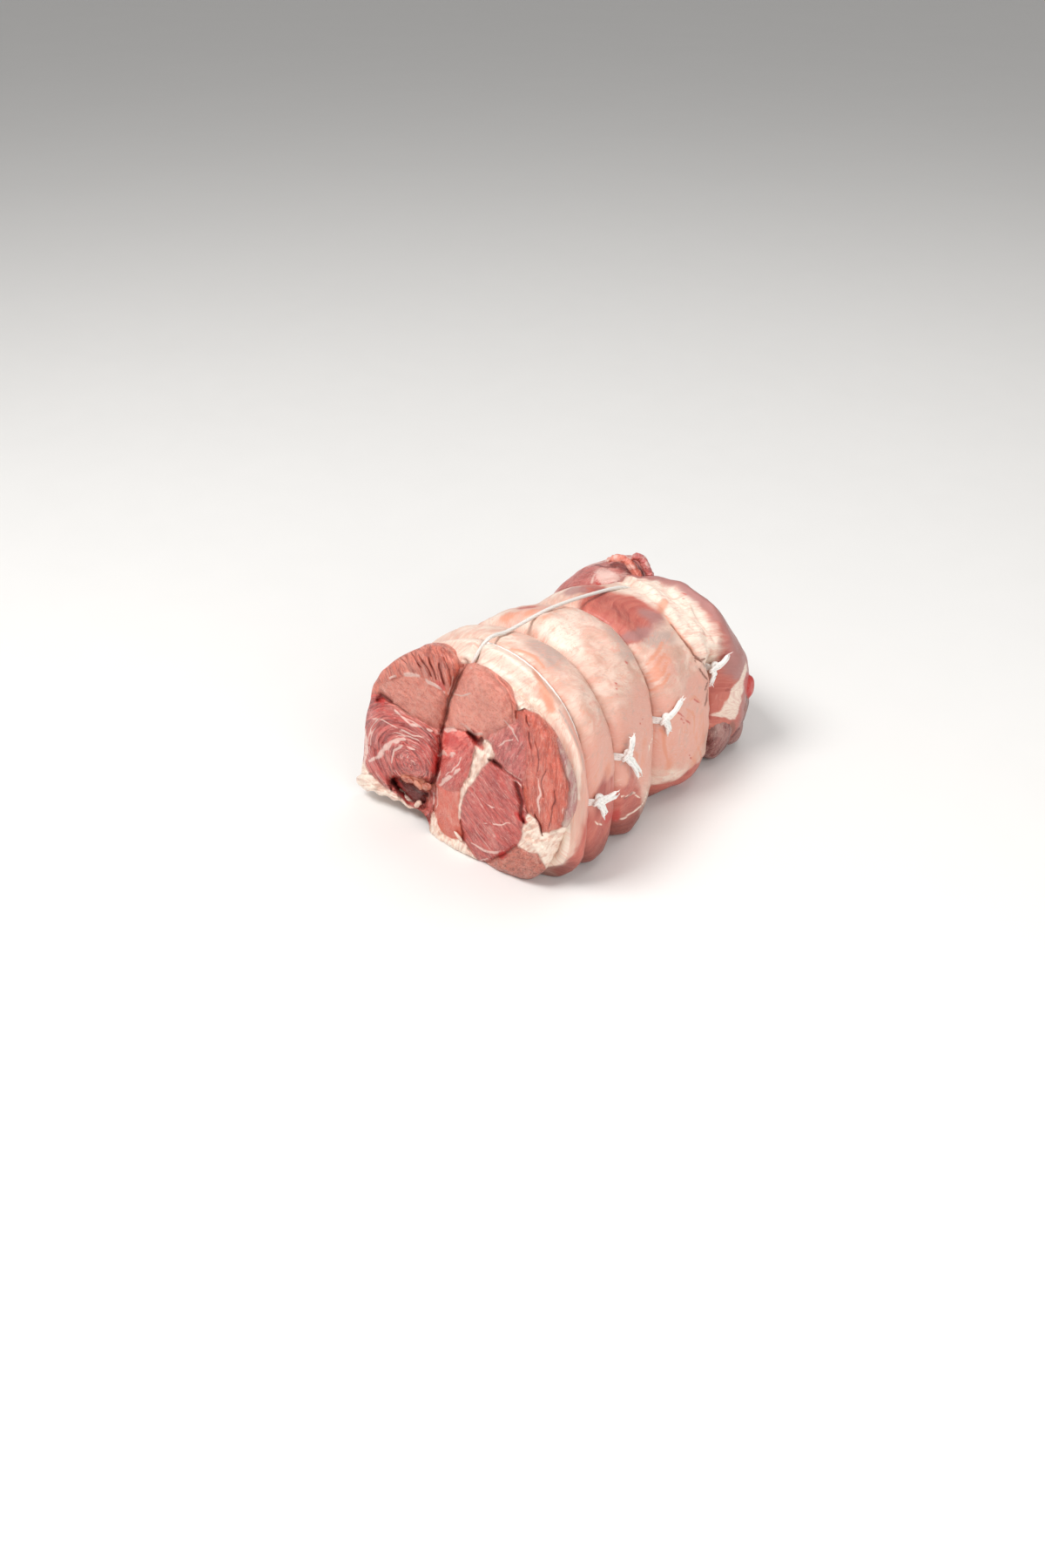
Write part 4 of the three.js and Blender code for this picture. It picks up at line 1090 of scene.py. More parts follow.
def make_shank(colours):
    """The shank, with the hollow of its cut end and the marks seen on it."""
    bm, unit = ball_mesh(170, 130)
    points, grain = shank_points(unit)
    axis = np.array(CUP["axis"]) / np.linalg.norm(CUP["axis"])
    depth = cup_depth(points, axis) * (unit[:, 2] > 0.4)
    points += axis * (depth * (1 + 0.15 * lumps(points, 3, 35)))[:, None]
    marks = blank_marks(len(points), grain, 0.15)
    # deep in the hollow of the cut end the colour is painted shade
    marks.update(blood=ease(0, 3, depth) * 0.8, cleft=ease(6, 12, depth))
    flat = seen(points, TAIL_PLANE) + 0.7 * lumps_each(points, 4, (36, 37))
    near_side = points[:, 1] < SHANK_Y + 4
    for kind, lines in SHANK_MARKS.items():
        for half, line in lines:
            far, _ = line_distance(flat, line)
            raise_mark(marks, kind, gauss(far / (1.3 * half)) * near_side)
    marks["fat"] *= 0.68 + 0.35 * lumps(points, 3, 34)
    finish_meat("shank", bm, points, marks, colours, "shank")


def make_fold(fold, seed, colours):
    """One ragged lip of the cut end: a flat strip across the viewer's line of sight."""
    bm, unit = ball_mesh(48, 70)
    line = placed(fold["line"], TAIL_PLANE, np.full(len(fold["line"]), fold["y"]))
    at, way = smooth_line(line, (unit[:, 2] + 1) / 2)
    look, turn = unit_rows(at - VIEWER), around(unit)
    out = (np.cross(way, look) * np.cos(turn)[:, None] * fold["half"]
           + look * np.sin(turn)[:, None] * fold["deep"])
    points = at + out * sausage_size(unit)[:, None]
    points += unit * (0.9 * lumps(points, 3.5, 38 + seed) + 0.6 * lumps(points, 1.5, 39))[:, None]
    marks = blank_marks(len(points), np.stack([turn * 3, unit[:, 2] * 14, 0 * turn], -1), 0.3)
    marks["fat"] = 0.36 + 0.4 * lumps(points, 2.5, 66)
    finish_meat(fold["name"], bm, points, marks, colours, fold["tint"])


def make_flap(flap, seed, colours):
    """One swelling of meat at the far end or under the roll."""
    bm, unit = ball_mesh(72, 48)
    turn = (Matrix.Rotation(math.radians(flap["turn_z"]), 3, "Z")
            @ Matrix.Rotation(math.radians(flap["turn_y"]), 3, "Y"))
    points = (signed_power(unit, 0.85) * flap["size"]) @ np.array(turn).T + flap["at"]
    grain = grain_of(flap, points[:, 1], points[:, 2], points[:, 0])
    bump = 0.5 * lumps(points, 6, 40 + seed) + 0.35 * lumps(grain * (0.12, 0.6, 0.3), 1.0, 50)
    points += unit * bump[:, None]
    points[:, 2] = np.maximum(points[:, 2], 0.05)
    marks = blank_marks(len(points), grain, 0.3)
    marks["fat"] = 0.6 * ease(0.45, 0.9, lumps(points, 6, 60 + seed))
    tail_marks(marks, points, float(flap["tint"] in ("tail", "pink")))
    finish_meat(flap["name"], bm, points, marks, colours, flap["tint"])


class LAMBROLL_OT_shank_end(bpy.types.Operator):
    """Makes the shank with its cut end and the flaps at the far end"""

    bl_idname = "lambroll.shank_end"
    bl_label = "Shank End"

    def execute(self, context):
        colours = context.scene.lamb_colours
        make_shank(colours)
        for seed, fold in enumerate(SHANK_FOLDS):
            make_fold(fold, seed, colours)
        for seed, flap in enumerate(FLAPS):
            make_flap(flap, seed, colours)
        return {"FINISHED"}


# ---- twine ---------------------------------------------------------------------------------------
FRAYED = 4  # loose threads at the tip of every strand


def twine_mesh(path, radius, pitch, sides=12, lobes=0.14):
    """A closed three-ply twine along a closed path of points: the plies twist once each pitch."""
    bm, index, profile = ring_mesh(len(path), sides)
    way = unit_rows(np.roll(path, -1, 0) - np.roll(path, 1, 0))
    out = path - path.mean(0)
    out = unit_rows(out - (out * way).sum(1)[:, None] * way)
    side = np.cross(way, out)
    walk = np.concatenate([[0], np.cumsum(np.linalg.norm(np.diff(path, axis=0), axis=1))])
    turns = max(1, round(walk[-1] / pitch))
    phase = walk / walk[-1] * turns * 2 * math.pi
    ply = np.abs(np.cos(1.5 * (profile - phase[index] / 3)))
    r = radius * (1 - lobes + lobes * ply)
    points = (path[index] + out[index] * (np.cos(profile) * r)[:, None]
              + side[index] * (np.sin(profile) * r)[:, None])
    move_points(bm, points)
    return bm, np.stack([walk[index], profile * radius, 0 * profile], -1), ply


def strand_mesh(ctrl, radius, seed, tip, rows=26, sides=10):
    """One open strand along a bent line, thinner at its tip."""
    bm, unit = ball_mesh(sides, rows)
    t = (unit[:, 2] + 1) / 2
    t = t * t * (3 - 2 * t) * 0.5 + t * 0.5
    at, way = smooth_line(ctrl, t)
    side = unit_rows(np.cross(way, (0.0, 0.25, 1.0)))
    up = np.cross(side, way)
    turn = around(unit)
    r = radius * np.sqrt(np.maximum(1 - np.abs(unit[:, 2]) ** 8, 0)) * (1 - (1 - tip) * t ** 3)
    r *= 1 + 0.12 * np.cos(3 * turn - 9 * t)
    points = at + side * (np.cos(turn) * r)[:, None] + up * (np.sin(turn) * r)[:, None]
    points += 0.12 * lumps_each(at, 1.6, (seed, seed + 1, seed + 2))
    move_points(bm, points)
    return bm, np.stack([t * 10, turn * radius, 0 * t], -1), np.abs(np.cos(1.5 * turn - 4.5 * t))


def loop_path(loop, steps, lift):
    """Points along a loop of twine in its crease, lifted off the flat underside."""
    theta = even_turns(steps)
    p = skin(np.full(steps, loop["y"]), theta, lift)
    p[:, 2] = np.maximum(p[:, 2], LOW_LOOP - 1.0)
    return p


def knot_parts(loop, knot, radius, seed):
    """The lead out of the crease, the knot and its two tails of two strands each."""
    path = loop_path(loop, 400, radius * 0.6)
    right = np.where(path[:, 0] > 20)[0]
    base = path[right[np.argmin(np.abs(path[right, 2] - knot["z"]))]]
    at = base + (knot["out"], knot["along"], 0)
    parts = []
    for offset in (-0.7, 0.0, 0.7):
        ctrl = (base + (-0.6, offset * 0.8, offset * 1.3), base * 0.5 + at * 0.5 + (0.5, 0, offset * 1.3),
                at + (0, 0, offset * 0.4))
        parts.append(strand_mesh(ctrl, radius * 0.8, seed, 0.9))
    t = np.linspace(0, 2 * math.pi, 150, endpoint=False)
    loopy = np.stack([-np.sin(3 * t) * 0.9, np.cos(t) - 2 * np.cos(2 * t), np.sin(t) + 2 * np.sin(2 * t)], -1)
    parts.append(twine_mesh(at + loopy * (0.9, 0.8, 0.98), radius * 1.05, 5.0, sides=10))
    rng = np.random.default_rng(seed)
    for tail in knot["tails"]:
        tail = np.array(tail, float)
        bend = tail * (0.45, 0.5, 0.45) + (0.8, 0, 0)
        side = np.cross(tail, (1.0, 0.2, 0.0))
        side /= np.linalg.norm(side)
        for sign in (-1, 1):
            push = side * sign * radius * 1.05
            tip = at + tail + push * 1.7 + (0, 0, 0.2 * sign)
            ctrl = (at + push * 0.6, at + bend * 0.5 + push * 1.2, at + bend + push * 0.9, tip)
            parts.append(strand_mesh(ctrl, radius * 1.15, seed + 3 + sign, 0.8))
            for _ in range(FRAYED):
                spread = rng.normal(0, 0.55, 3)
                end = tip + tail / np.linalg.norm(tail) * rng.uniform(0.6, 1.5) + spread
                parts.append(strand_mesh((tip - tail * 0.12, tip, end), radius * 0.26, seed, 0.4, 8, 6))
    return parts


def finish_twine(name, node, parts, material):
    """Joins the parts of one string, each a mesh with its grain and plies."""
    meshes, grains, plies = zip(*parts)
    marks = {"grain": np.concatenate(grains), "ply": np.concatenate(plies)}
    finish_piece(name, join_meshes(meshes), material, [node], marks)


class LAMBROLL_OT_twine_loops(bpy.types.Operator):
    """Ties the four loops of twine, each with its knot and tails"""

    bl_idname = "lambroll.twine_loops"
    bl_label = "Twine Loops"

    def execute(self, context):
        sizes = context.scene.lamb_sizes
        radius = sizes.twine_diameter / MM / 2
        pitch = sizes.twine_pitch / MM
        material = twine_material("loop_twine", context.scene.lamb_colours.twine, 1.0)
        for i, (loop, knot) in enumerate(zip(LOOPS, KNOTS)):
            parts = [twine_mesh(loop_path(loop, 760, -radius * 0.75), radius, pitch)]
            parts += knot_parts(loop, knot, radius, 7 * i + 1)
            finish_twine(f"twine_loop_{i + 1}", f"string_loop_{i + 1}", parts, material)
        return {"FINISHED"}


def long_path():
    """The lengthwise string: crease of the face, crest, top, far end and underside."""
    top = [(STRING_X, *skin(y, math.pi / 2, 0.6)[1:]) for y in (-59, -28, 8, 28)]
    crease = [(-13.5, -80, 4), (-11, -80, 17), (-6, -80, 34), (-4, -79.5, 50), (-1, -79, 64)]
    crest = [(4, -80, 76), (9, -80.5, 88), (11.5, -79, 96), (12, -71, 101.5)]
    tail = [(11.5, 45, 82), (11, 56, 80.5), (10.5, 68, 75.5), (10, 80, 67.5), (9, 88.5, 58)]
    end = [(8.6, 93.2, 46), (8, 93.8, 32), (6, 93.2, 20), (3, 90.4, 7.5), (0.6, 84, 2.8)]
    under = [(-1.5, 77, LOW_STRING + 0.25), (-2.5, 69, LOW_STRING), (-4, 45, LOW_STRING),
             (-6, 0, LOW_STRING), (-8, -45, LOW_STRING), (-10, -68, LOW_STRING),
             (-11, -77, LOW_STRING + 0.3)]
    return smooth_line(crease + crest + top + tail + end + under, np.arange(1500) / 1500, closed=True)[0]


class LAMBROLL_OT_long_string(bpy.types.Operator):
    """Lays the string that runs lengthwise round the roll"""

    bl_idname = "lambroll.long_string"
    bl_label = "Long String"

    def execute(self, context):
        sizes = context.scene.lamb_sizes
        material = twine_material("long_twine", context.scene.lamb_colours.long_twine, 0.6)
        part = twine_mesh(long_path(), sizes.twine_diameter / MM / 2, sizes.twine_pitch / MM, lobes=0.1)
        finish_twine("twine_long", "string_long", [part], material)
        return {"FINISHED"}


# ---- materials -----------------------------------------------------------------------------------
BLACK = (0.0, 0.0, 0.0)


class Nodes:
    """Adds and links the nodes of one tree."""

    def __init__(self, tree):
        self.tree = tree

    def add(self, kind, label="", inputs=None, **settings):
        node = self.tree.nodes.new(kind)
        node.label = label
        for key, value in settings.items():
            setattr(node, key, value)
        for key, value in (inputs or {}).items():
            if isinstance(value, bpy.types.NodeSocket):
                self.tree.links.new(value, node.inputs[key])
            else:
                node.inputs[key].default_value = value
        return node

    def attribute(self, name, output="Fac"):
        return self.add("ShaderNodeAttribute", name, attribute_name=name).outputs[output]

    def math(self, operation, a, b=0.0):
        return self.add("ShaderNodeMath", inputs={0: a, 1: b}, operation=operation).outputs[0]

    def line(self, noise, half):
        """1 where a noise crosses its middle, 0 farther off than half."""
        return self.range(self.math("ABSOLUTE", self.math("SUBTRACT", noise, 0.5)), half, 0.0)

    def stretch(self, vector, scale, offset=(0, 0, 0)):
        return self.add("ShaderNodeMapping", inputs={"Vector": vector, "Scale": scale,
                                                     "Location": offset}).outputs[0]

    def noise(self, vector, scale, detail=3.0, rough=0.55, distortion=0.0):
        return self.add("ShaderNodeTexNoise", inputs={
            "Vector": vector, "Scale": scale, "Detail": detail, "Roughness": rough,
            "Distortion": distortion}).outputs["Fac"]

    def range(self, value, low, high, to_low=0.0, to_high=1.0):
        node = self.add("ShaderNodeMapRange", inputs={
            "Value": value, "From Min": low, "From Max": high, "To Min": to_low, "To Max": to_high},
            interpolation_type="SMOOTHSTEP")
        return node.outputs["Result"]

    def mix(self, factor, a, b):
        """Mixes two colours, each a socket or a colour setting."""
        a, b = (c if isinstance(c, bpy.types.NodeSocket) else (*linear(c), 1.0) for c in (a, b))
        return self.add("ShaderNodeMix", inputs={0: factor, 6: a, 7: b}, data_type="RGBA",
                        clamp_factor=True).outputs[2]

    def lay(self, tone, mask, share, colour):
        """Lays a share of a colour over a tone where the mask is."""
        return self.mix(self.math("MULTIPLY", mask, share), tone, colour)

    def group(self, tree, **inputs):
        return self.add("ShaderNodeGroup", inputs=inputs, node_tree=tree).outputs


def linear(colour):
    """A colour as people name it, made linear for a shader."""
    return tuple(c / 12.92 if c <= 0.04045 else ((c + 0.055) / 1.055) ** 2.4 for c in colour)


def new_group(name, inputs, outputs):
    """An empty node group, with its nodes, its inputs and its outputs."""
    tree = bpy.data.node_groups.new(name, "ShaderNodeTree")
    for label, kind, value in inputs:
        socket = tree.interface.new_socket(name=label, in_out="INPUT", socket_type=kind)
        if value is not None:
            socket.default_value = value
    for label, kind in outputs:
        tree.interface.new_socket(name=label, in_out="OUTPUT", socket_type=kind)
    source = tree.nodes.new("NodeGroupInput")
    sink = tree.nodes.new("NodeGroupOutput")
    return tree, Nodes(tree), source.outputs, sink.inputs


def ragged_group():
    """A mask whose edge is broken up by noise along the grain."""
    name = "Ragged edge"
    if name in bpy.data.node_groups:
        return bpy.data.node_groups[name]
    tree, n, given, sink = new_group(name, (
        ("Mask", "NodeSocketFloat", 0.0), ("Grain", "NodeSocketVector", None),
        ("Scale", "NodeSocketFloat", 0.5), ("Raggedness", "NodeSocketFloat", 0.5),
        ("Softness", "NodeSocketFloat", 0.15)), (("Factor", "NodeSocketFloat"),))
    noise = n.noise(given["Grain"], given["Scale"], 5.0, 0.62)
    shaken = n.math("ADD", given["Mask"], n.math("MULTIPLY", n.math("SUBTRACT", noise, 0.5),
                                                 given["Raggedness"]))
    low = n.math("SUBTRACT", 0.5, given["Softness"])
    high = n.math("ADD", 0.5, given["Softness"])
    tree.links.new(n.range(shaken, low, high), sink["Factor"])
    return tree


def fibre_group():
    """Meat fibres: bundles, fine fibres and blotches from the grain coordinates."""
    name = "Meat fibres"
    if name in bpy.data.node_groups:
        return bpy.data.node_groups[name]
    tree, n, given, sink = new_group(name, (
        ("Grain", "NodeSocketVector", None), ("Bundle", "NodeSocketFloat", 0.5)),
        (("Bundles", "NodeSocketFloat"), ("Fibres", "NodeSocketFloat"), ("Blotches", "NodeSocketFloat"),
         ("Streaks", "NodeSocketFloat"), ("Height", "NodeSocketFloat")))
    bundles = n.noise(n.stretch(given["Grain"], (0.22, 1.0, 0.5)), given["Bundle"], 3.0, 0.6, 0.6)
    fibres = n.noise(n.stretch(given["Grain"], (0.35, 2.4, 1.0)), 1.0, 3.0, 0.65, 0.5)
    blotches = n.noise(given["Grain"], 0.09, 4.0, 0.6, 0.8)
    streaks = n.noise(n.stretch(given["Grain"], (0.12, 1.1, 0.4), (40, 17, 3)), 0.55, 4.0, 0.6, 1.2)
    pores = n.noise(given["Grain"], 2.2, 2.0, 0.5)
    height = n.math("ADD", n.math("MULTIPLY", bundles, 0.55), n.math("MULTIPLY", fibres, 0.35))
    height = n.math("ADD", height, n.math("MULTIPLY", pores, 0.18))
    for key, socket in (("Bundles", bundles), ("Fibres", fibres), ("Blotches", blotches),
                        ("Streaks", streaks), ("Height", height)):
        tree.links.new(socket, sink[key])
    return tree


def new_material(name):
    """A material with its nodes and a shader linked to its output."""
    material = bpy.data.materials.new(name)
    material.use_nodes = True
    material.node_tree.nodes.clear()
    n = Nodes(material.node_tree)
    shader = n.add("ShaderNodeBsdfPrincipled")
    sink = n.add("ShaderNodeOutputMaterial")
    material.node_tree.links.new(shader.outputs["BSDF"], sink.inputs["Surface"])
    return material, n, shader


def dress(n, shader, colour, rough, height, strength, distance, coat=0.0, flesh=0.0):
    """Links a colour, a roughness and a bump to a shader, with its wet coat and soft depth."""
    link = n.tree.links.new
    link(colour, shader.inputs["Base Color"])
    link(rough, shader.inputs["Roughness"])
    bump = n.add("ShaderNodeBump", inputs={"Height": height, "Strength": strength, "Distance": distance})
    link(bump.outputs["Normal"], shader.inputs["Normal"])
    shader.inputs["Coat Weight"].default_value = coat
    shader.inputs["Coat Roughness"].default_value = 0.22
    shader.inputs["Subsurface Weight"].default_value = flesh
    shader.inputs["Subsurface Radius"].default_value = (1.0, 0.45, 0.3)
    shader.inputs["Subsurface Scale"].default_value = 0.0022


def fat_cap_material(colours):
    """Fat with its patches, veins and stains, the lean meat and skin that show through it, and painted shade
    low down and in the creases.
    """
    material, n, shader = new_material("fat_side")
    grain = n.attribute("grain", "Vector")
    fine = n.group(fibre_group(), Grain=grain, Bundle=0.35)

    def patch(name, scale, raggedness, softness, squash=(0.5, 1.0, 1.0)):
        return n.group(ragged_group(), Mask=n.attribute(name), Grain=n.stretch(grain, squash), Scale=scale,
                       Raggedness=raggedness, Softness=softness)["Factor"]

    tone = n.mix(n.range(fine["Blotches"], 0.35, 0.65), colours.fat, colours.fat_deep)
    tone = n.mix(patch("rosy", 0.2, 0.7, 0.4), tone, colours.rosy)
    tone = n.mix(patch("grey", 0.16, 0.5, 0.45), tone, colours.grey)
    tone = n.mix(patch("cream", 0.22, 0.5, 0.4), tone, colours.cream)
    tone = n.lay(tone, n.range(fine["Streaks"], 0.55, 0.66), 0.4, colours.rosy)
    tone = n.lay(tone, n.range(fine["Fibres"], 0.55, 0.72), 0.35, colours.cream)
    mottle = n.noise(grain, 0.28, 4.0, 0.65, 0.8)
    tone = n.lay(tone, n.range(mottle, 0.52, 0.7), 0.42, colours.grey)
    flush = n.noise(n.stretch(grain, (0.6, 1.0, 1.0), (9, 2, 4)), 0.17, 5.0, 0.7, 1.5)
    tone = n.lay(tone, n.range(flush, 0.5, 0.68), 0.6, colours.flush)
    veins = n.noise(n.stretch(grain, (0.5, 1.0, 1.0), (2, 8, 1)), 0.11, 3.0, 0.6, 1.8)
    tone = n.lay(tone, n.line(veins, 0.014), 0.45, colours.stain)
    tone = n.lay(tone, patch("orange", 0.4, 0.9, 0.45), 0.8, colours.stain)
    meat = n.mix(n.range(fine["Bundles"], 0.25, 0.85), colours.red, colours.brick)
    meat = n.lay(meat, n.range(fine["Fibres"], 0.58, 0.72), 0.22, colours.membrane)
    meat = n.lay(meat, n.range(fine["Blotches"], 0.5, 0.3), 0.5, colours.crimson_deep)
    tone = n.mix(patch("lean", 0.3, 0.55, 0.3), tone, meat)
    tone = n.lay(tone, patch("mauve", 0.25, 0.6, 0.35, (0.3, 1.0, 1.0)), 0.8, colours.mauve)
    # painted shade low down on the side and at the lower left of the front cap, broken by the bundles
    tone = n.lay(tone, n.attribute("dusk"), n.range(fine["Bundles"], 0.3, 0.7, 0.85, 0.65), colours.dusk)
    white_share = n.range(fine["Fibres"], 0.35, 0.6, 0.65, 1.0)
    tone = n.lay(tone, patch("white", 0.8, 0.7, 0.3), white_share, colours.cream)
    tone = n.lay(tone, patch("blood", 0.9, 0.5, 0.3), 0.7, colours.blood)
    # painted shade in the creases under the loops and in folds
    tone = n.lay(tone, patch("cleft", 0.6, 0.25, 0.3, (1.0, 1.0, 1.0)), 0.85, colours.crease)
    speck = n.noise(grain, 1.6, 3.0, 0.6)
    tone = n.mix(n.range(speck, 0.2, 0.9, 0.10, 0.0), tone, colours.brick)
    rough = n.range(n.noise(grain, 0.8, 3.0), 0.3, 0.7, 0.34, 0.52)
    dress(n, shader, tone, rough, fine["Height"], 0.6, 0.0008, coat=0.15, flesh=0.08)
    return material


# dark and plain colour of every kind of meat; both colours of the hollow are painted shade, and the dark one
# is also laid in the grooves of ridged muscles as painted shade
TINTS = {
    "eye": ("salmon_deep", "salmon"), "orange": ("orange_deep", "orange_red"),
    "mauve": ("mauve_deep", "mauve_pink"), "shank": ("shank_deep", "mauve_red"),
    "purple": ("purple_deep", "purple_red"), "pink": ("pink_deep", "pink_red"),
    "red": ("blood", "bright_red"), "salmon": ("orange_red", "pale_pink"),
    "brown": ("brown_deep", "brown_pink"), "umber": ("umber_deep", "umber"),
    "crimson": ("crimson_deep", "crimson"), "fat": ("fat_deep", "cream"),
    "ledge": ("ledge_deep", "ledge"), "hollow": ("crevice_shade", "hollow"),
    "silver": ("grey", "violet"), "tag": ("brown_deep", "purple_red"),
    "fine": ("fine_deep", "fine_plain"), "tail": ("tail_deep", "tail_plain"),
}


def meat_material(colours):
    """Cut or bare meat: fibres, curls, painted glints and marbling over the colours of its own tint, with
    painted shade in its clefts and grooves.
    """
    name = "cut_meat"
    if name in bpy.data.materials:
        return bpy.data.materials[name]
    material, n, shader = new_material(name)
    grain = n.attribute("grain", "Vector")
    fine = n.group(fibre_group(), Grain=grain, Bundle=0.55)
    plain, dark = n.attribute("tint", "Color"), n.attribute("shade", "Color")
    light = n.mix(0.4, plain, colours.cream)
    tone = n.mix(n.range(fine["Bundles"], 0.34, 0.6), dark, plain)
    tone = n.lay(tone, n.range(fine["Fibres"], 0.52, 0.7), 0.7, light)
    tone = n.lay(tone, n.range(fine["Blotches"], 0.5, 0.75), 0.45, light)
    tone = n.lay(tone, n.range(fine["Blotches"], 0.5, 0.25), 0.5, dark)
    waves = n.noise(n.stretch(grain, (0.45, 1.0, 1.0), (7, 3, 9)), 0.8, 2.5, 0.55, 2.2)
    curls = n.line(n.noise(grain, 0.5, 2.5, 0.55, 2.4), 0.035)
    curls = n.math("MULTIPLY", n.math("MAXIMUM", curls, n.line(waves, 0.04)), n.attribute("worm"))
    # the pale curls are partly the meat's own pale lines and partly painted highlight
    tone = n.lay(tone, curls, 0.8, light)
    gaps = n.math("MULTIPLY", n.range(waves, 0.58, 0.68), n.attribute("worm"))
    tone = n.lay(tone, gaps, 0.5, dark)
    # painted shade in the grooves of ridged muscles
    tone = n.lay(tone, n.attribute("groove"), 0.6, dark)
    # painted highlights: small cream glints along the fibres
    glints = n.noise(n.stretch(grain, (0.5, 1.6, 1.0), (3, 11, 5)), 0.9, 3.0, 0.7, 0.8)
    tone = n.lay(tone, n.range(glints, 0.66, 0.76), 0.55, colours.cream)
    marbling = n.math("MULTIPLY", n.range(fine["Streaks"], 0.585, 0.66), n.attribute("marble"))
    tone = n.lay(tone, marbling, 0.75, colours.membrane)
    blood = n.group(ragged_group(), Mask=n.attribute("blood"), Grain=grain, Scale=0.8, Raggedness=0.7,
                    Softness=0.3)["Factor"]
    tone = n.lay(tone, blood, 0.75, colours.blood)
    fat = n.group(ragged_group(), Mask=n.attribute("fat"), Grain=n.stretch(grain, (0.6, 1.0, 1.0)),
                  Scale=1.1, Raggedness=0.7, Softness=0.2)["Factor"]
    tone = n.lay(tone, fat, 0.75, colours.membrane)
    # painted shade in clefts, seams, the hollow and deep in the shank's cut end
    tone = n.lay(tone, n.range(n.attribute("cleft"), 0.3, 0.95), 0.72, colours.crevice_shade)
    height = n.math("ADD", fine["Height"], n.math("MULTIPLY", curls, 0.35))
    rough = n.range(n.noise(grain, 1.1, 3.0), 0.3, 0.7, 0.24, 0.5)
    dress(n, shader, tone, rough, height, 0.7, 0.0008, coat=0.18, flesh=0.05)
    return material


def twine_material(name, colour, fuzziness):
    """Matt cotton, with painted shade between its plies."""
    material, n, shader = new_material(name)
    fuzz = n.noise(n.stretch(n.attribute("grain", "Vector"), (1.5, 6.0, 1.0)), 1.0, 4.0, 0.7)
    crest = n.range(n.attribute("ply"), 0.0, 0.5)
    crest = n.math("MULTIPLY", crest, n.range(fuzz, 0.2, 0.5, 0.7, 1.0))
    tone = n.mix(crest, n.mix(0.38, colour, BLACK), colour)
    dress(n, shader, tone, n.range(fuzz, 0.3, 0.7, 0.75, 0.95), fuzz, 0.5 * fuzziness, 0.0003)
    return material


def floor_material(colour):
    material, n, shader = new_material("pale_floor")
    place = n.add("ShaderNodeTexCoord").outputs["Object"]
    tone = n.mix(n.range(n.noise(place, 6.0, 3.0), 0.3, 0.7, 0.0, 0.0075), colour, BLACK)
    dress(n, shader, tone, n.range(n.noise(place, 40.0), 0.3, 0.7, 0.6, 0.7), n.noise(place, 300.0),
          0.02, 0.0005)
    return material


# ---- stage ---------------------------------------------------------------------------------------
CAMERA_TURN = (57.5, 0.0, 38.5)
CAMERA_LENS = 34.69
LIGHTS_AIM = (0.0, -0.02, 0.05)
WORLD_STRENGTH = 0.38
LIGHTS = (
    # name, place, size, energy
    ("key_softbox", (-0.35, -0.75, 1.3), 0.6, 16.5),
    ("fill_softbox", (1.1, -0.5, 0.7), 0.8, 7.0),
    ("top_softbox", (0.1, 0.5, 1.4), 0.8, 4.5),
)


class LAMBROLL_OT_stage(bpy.types.Operator):
    """Sets up the floor, the soft lights and the camera"""

    bl_idname = "lambroll.stage"
    bl_label = "Stage"

    def execute(self, context):
        scene = context.scene
        bm = bmesh.new()
        bmesh.ops.create_grid(bm, x_segments=2, y_segments=2, size=4.0)
        mesh = bpy.data.meshes.new("floor")
        bm.to_mesh(mesh)
        bm.free()
        mesh.materials.append(floor_material(scene.lamb_colours.floor))
        floor = bpy.data.objects.new("floor", mesh)
        scene.collection.objects.link(floor)
        for name, place, size, energy in LIGHTS:
            data = bpy.data.lights.new(name, "AREA")
            data.size = size
            data.energy = energy
            lamp = bpy.data.objects.new(name, data)
            lamp.location = place
            aim = Vector(LIGHTS_AIM) - Vector(place)
            lamp.rotation_euler = aim.to_track_quat("-Z", "Y").to_euler()
            scene.collection.objects.link(lamp)
        world = bpy.data.worlds.new("soft_room")
        world.use_nodes = True
        background = world.node_tree.nodes["Background"]
        background.inputs["Color"].default_value = (1.0, 1.0, 1.0, 1.0)
        background.inputs["Strength"].default_value = WORLD_STRENGTH
        scene.world = world
        scene.view_settings.view_transform = "Standard"
        lens = bpy.data.cameras.new("camera")
        lens.lens = CAMERA_LENS
        lens.sensor_width = 36.0
        lens.sensor_fit = "AUTO"
        lens.clip_start = 0.01
        camera = bpy.data.objects.new("camera", lens)
        camera.location = (VIEWER + SHIFT) * MM
        camera.rotation_euler = [math.radians(a) for a in CAMERA_TURN]
        scene.collection.objects.link(camera)
        scene.camera = camera
        return {"FINISHED"}


# ---- settings, panel and registration ------------------------------------------------------------
def colour_setting(name, description, red, green, blue):
    return bpy.props.FloatVectorProperty(
        name=name, description=description, subtype="COLOR_GAMMA", size=3, min=0.0, max=1.0,
        default=(red / 255, green / 255, blue / 255))


class LambSizes(bpy.types.PropertyGroup):
    twine_diameter: bpy.props.FloatProperty(
        name="Twine Diameter", description="Thickness of the butcher's twine",
        default=0.0018, min=0.001, max=0.003, unit="LENGTH")
    twine_pitch: bpy.props.FloatProperty(
        name="Twine Pitch", description="Length in which the plies turn once",
        default=0.0045, min=0.002, max=0.012, unit="LENGTH")


